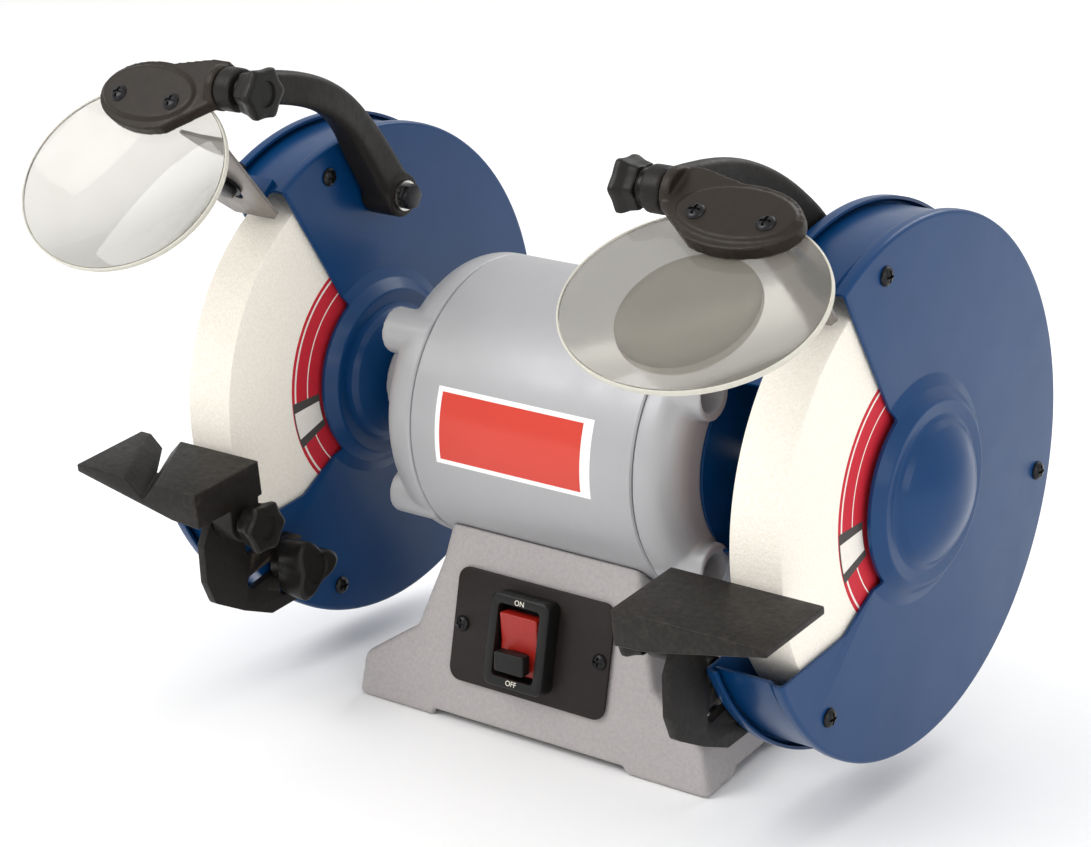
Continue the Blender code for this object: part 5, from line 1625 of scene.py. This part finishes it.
@dataclass
class Rests:
    """Slotted brackets, cast tool rests and their knobs."""

    frame: Frame
    thickness: float = 4.0 * MM
    lug: float = 12.0 * MM
    slope: float = 7.0
    width: float = 72.0 * MM
    depth: float = 41.0 * MM
    tip: float = 3.6 * MM
    root: float = 16.5 * MM
    back: float = 104.5 * MM
    top: float = -14.0 * MM
    pivot: Point = (-114.0 * MM, -40.0 * MM)
    bolt: Point = (-78.0 * MM, -71.0 * MM)
    slot_length: float = 44.0 * MM
    slot_slope: float = 13.5
    groove_width: float = 18.0 * MM
    groove_slant: float = 30.0

    def build(self) -> None:
        """Make both rests."""
        for side in Side:
            self.bracket(side)
            self.rest(side)

    def bracket(self, side: Side) -> None:
        """The slotted plate on the guard's motor side.

        Args:
            side: The end of the grinder.
        """
        low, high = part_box("rest_bracket_" + side.label)
        (py, pz), (by, bz) = self.pivot, self.bolt
        front = py - 14 * MM
        outline = [(front, pz - 10 * MM), (front + 1 * MM, pz - 28 * MM), (front + 6 * MM, pz - 39 * MM),
                   (front + 24 * MM, pz - 48 * MM), (by - 8 * MM, bz - 24 * MM), (by + 10 * MM, bz - 22 * MM),
                   (by + 17 * MM, bz - 8 * MM), (by + 16 * MM, bz + 6 * MM), (by + 6 * MM, bz + 11 * MM),
                   (by - 8 * MM, bz + 9 * MM), (py + 13 * MM, pz - 23 * MM), (py + 10 * MM, pz)]
        outline = fillet(outline, 4 * MM, closed=False) + arc((py, pz), 8.5 * MM, 20, 160, 16)
        place = self.frame.place() @ IN_YZ
        bracket = Solid.prism(outline, low.x, high.x, place)
        for centre, length in (((by - 2 * MM, bz - 0.5 * MM), self.slot_length),
                               ((by + 9 * MM, bz - 12 * MM), self.slot_length * 0.55)):
            bracket.cut(Solid.prism(slot_outline(centre, length, 7 * MM, self.slot_slope), low.x - 0.01,
                                    high.x + 0.01, place))
        bracket.bevel(0.8 * MM, 3, 50)
        bracket.piece("cast_bracket_" + side.label, CAST_BLACK, "bracket_" + side.label, "black_iron",
                      ["rest_bracket_" + side.label])

    def rest(self, side: Side) -> None:
        """The tapered rest with its lug and both knobs.

        Args:
            side: The end of the grinder.
        """
        sign = side.value
        low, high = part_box("rest_bracket_" + side.label)
        near = min(abs(low.x), abs(high.x))
        lug_far = near - 0.3 * MM
        lug_near = lug_far - self.lug
        py, pz = self.pivot
        table = self.frame.place(y=-self.back, z=self.top, turn_x=self.slope)
        tip = lug_near + self.width
        section = [(sign * lug_near, 0.0), (sign * tip, 0.0), (sign * tip, -self.tip),
                   (sign * (lug_near + 16 * MM), 1 * MM - self.root), (sign * lug_near, -self.root)]
        rest = Solid.prism(section, 0, self.depth, table @ IN_XZ)
        tilt = self.frame.place(y=py, z=pz)
        height = self.top - pz - self.root / 2
        lug = arc((0, 0), 9 * MM, 180, 360, 17) + [(9 * MM, height), (-9 * MM, height)]
        span = sorted((sign * lug_near, sign * lug_far))
        rest.join(Solid.prism(lug, span[0], span[1], tilt @ IN_YZ))
        rest.cut(Solid.rod(STUD_HOLE, -THROUGH, THROUGH, tilt, 32))
        if side is Side.LEFT:
            half = self.groove_width / 2
            spot = Matrix.Translation((sign * (lug_near + self.width * 0.62), -self.depth / 2, 0))
            turn = Matrix.Rotation(math.radians(self.groove_slant), 4, "Z")
            rest.cut(Solid.prism([(-half, 1 * MM), (0, -half), (half, 1 * MM)], -0.06, 0.06,
                                 table @ spot @ turn @ IN_XZ))
        rest.bevel(0.7 * MM, 3, 30)
        rest.piece("cast_tool_rest_" + side.label, CAST_BLACK, "rest_" + side.label, "black_iron",
                   ["tool_rest_" + side.label])
        far = max(abs(low.x), abs(high.x))
        seat = self.frame.centre + Vector((sign * (lug_near - 0.3 * MM), py, pz))
        Knob(12 * MM, 3 * MM).build("rest_knob_" + side.label, sign, seat, sign * (far - 0.3 * MM))
        seat = self.frame.centre + Vector((sign * (near - 0.3 * MM), *self.bolt))
        knob = Knob(15.5 * MM, 5 * MM, lobes=3, depth=0.42, sharpness=1.6, waist=0.9, thickness=1.0)
        knob.build("bracket_knob_" + side.label, sign, seat, sign * (far + 2.9 * MM))


@dataclass
class Arrestors:
    """Galvanised plates over the wheels, with their bolts."""

    guards: Guards

    def build(self) -> None:
        """Dress both plates and make their bolts."""
        for side in Side:
            name = "spark_arrestor_" + side.label
            Solid.node_copy(self.guards.frame.nodes[name]).bevel(0.25 * MM, 2, 50).piece(
                name + "_cut", GALVANISED, "arrestor_" + side.label, "sheet_steel", [name])
            self.bolt(side)

    def bolt(self, side: Side) -> None:
        """A hex bolt with a washer, a nut and a thread behind the tab.

        Args:
            side: The end of the grinder.
        """
        place = self.guards.tab_place(side) @ Matrix.Translation((0, 22.5 * MM, 0))
        head_low = 2.2 * MM
        head = Solid.prism(arc((0, 0), 5.2 * MM, 0, 300, 6), head_low + 0.8 * MM, head_low + 4 * MM,
                           place).bevel(0.4 * MM, 2, 40)
        head.join(Solid.prism(arc((0, 0), 6.6 * MM, 0, 352.5, 48), head_low, head_low + 0.9 * MM, place))
        head.join(Solid.prism(arc((0, 0), 2.75 * MM, 0, 345, 24), -9 * MM, head_low + 1 * MM, place))
        head.join(Solid.prism(arc((0, 0), 5.0 * MM, 15, 315, 6), -5.4 * MM, -2.05 * MM, place))
        head.piece("arrestor_bolt_" + side.label + "_hex", BLACK_OXIDE, "main", "zinc_steel",
                   ["arrestor_bolt_" + side.label])
        start = place @ Matrix.Translation((0, 0, -8.9 * MM))
        Coil(2.75 * MM, 0.35 * MM, 3.4 * MM, 4).build(
            "arrestor_thread_" + side.label, start, BLACK_OXIDE, "main", "zinc_steel")


@dataclass
class Dressing:
    """Finishes for the CAD nodes that keep their own shape."""

    frame: Frame
    finishes: tuple = (("base_bottom_plate", GALVANISED), ("bearing", GROUND_STEEL), ("stator", GROUND_STEEL),
                       ("rotor_core", GROUND_STEEL), ("capacitor", BLACK_NYLON), ("cord_inlet", BLACK_NYLON))

    def apply(self) -> None:
        """Put a finish in the slots of every node that is still shown."""
        for name, node in self.frame.nodes.items():
            for start, finish in self.finishes:
                if name.startswith(start):
                    for slot in node.material_slots:
                        slot.material = finish.build()


@dataclass
class Studio:
    """Floor, soft lights and the camera."""

    frame: Frame
    azimuth: float = 36.28
    elevation: float = 17.80
    distance: float = 1.282
    lens_mm: float = 95.1
    shift: Point = (-0.0564, -0.0044)

    def build(self) -> None:
        """Make the stage."""
        self.floor()
        self.lights()
        self.camera()

    def floor(self) -> None:
        """A wide pale floor."""
        bm = bmesh.new()
        bmesh.ops.create_grid(bm, x_segments=1, y_segments=1, size=6.0)
        mesh = bpy.data.meshes.new("floor")
        bm.to_mesh(mesh)
        bm.free()
        floor = bpy.data.objects.new("floor", mesh)
        bpy.context.scene.collection.objects.link(floor)
        mesh.materials.append(Finish("studio_floor", "#FFFFFF", "#FDFDFD", 0.9, 0.02,
                                     grain_height_mm=0.0).build())

    def lights(self) -> None:
        """A bright surround and three large soft boxes."""
        world = bpy.data.worlds.new("studio")
        bpy.context.scene.world = world
        world.use_nodes = True
        background = world.node_tree.nodes["Background"]
        background.inputs["Color"].default_value = (1.0, 1.0, 1.0, 1.0)
        background.inputs["Strength"].default_value = 0.80
        for name, place, size, power in (("key", (-0.9, -1.3, 1.6), 1.1, 22.0),
                                         ("fill", (1.7, -0.9, 0.9), 1.2, 9.0),
                                         ("rim", (0.2, 1.5, 1.5), 1.2, 14.0)):
            light = bpy.data.lights.new(name, "AREA")
            light.size = size
            light.energy = power
            lamp = bpy.data.objects.new(name, light)
            lamp.location = place
            lamp.rotation_euler = (self.frame.centre - Vector(place)).to_track_quat("-Z", "Y").to_euler()
            bpy.context.scene.collection.objects.link(lamp)
        bpy.context.scene.view_settings.view_transform = "Standard"

    def camera(self) -> None:
        """The camera, looking at the shaft from the front right."""
        azimuth, elevation = math.radians(self.azimuth), math.radians(self.elevation)
        back = Vector((math.sin(azimuth) * math.cos(elevation), -math.cos(azimuth) * math.cos(elevation),
                       math.sin(elevation)))
        data = bpy.data.cameras.new("camera")
        data.lens = self.lens_mm
        data.shift_x, data.shift_y = self.shift
        camera = bpy.data.objects.new("camera", data)
        camera.location = self.frame.centre + back * self.distance
        camera.rotation_euler = (-back).to_track_quat("-Z", "Y").to_euler()
        bpy.context.scene.collection.objects.link(camera)
        bpy.context.scene.camera = camera


def corners(box: tuple[Vector, Vector]) -> list[list[float]]:
    """A box's corners as plain lists."""
    return [list(corner) for corner in box]


def main() -> None:
    """Build the whole grinder and its stage."""
    logging.basicConfig(level=logging.INFO, format="%(name)s: %(message)s")
    frame = Frame.load()
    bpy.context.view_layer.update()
    Studio(frame).build()
    guards = Guards(frame)
    steps: tuple[Callable[[], None], ...] = (
        Wheels(frame).build, guards.build, Motor(frame).build, Base(frame).build, Shields(frame).build,
        Rests(frame).build, Arrestors(guards).build, Dressing(frame).apply)
    for step in steps:
        step()


if __name__ == "__main__":
    main()
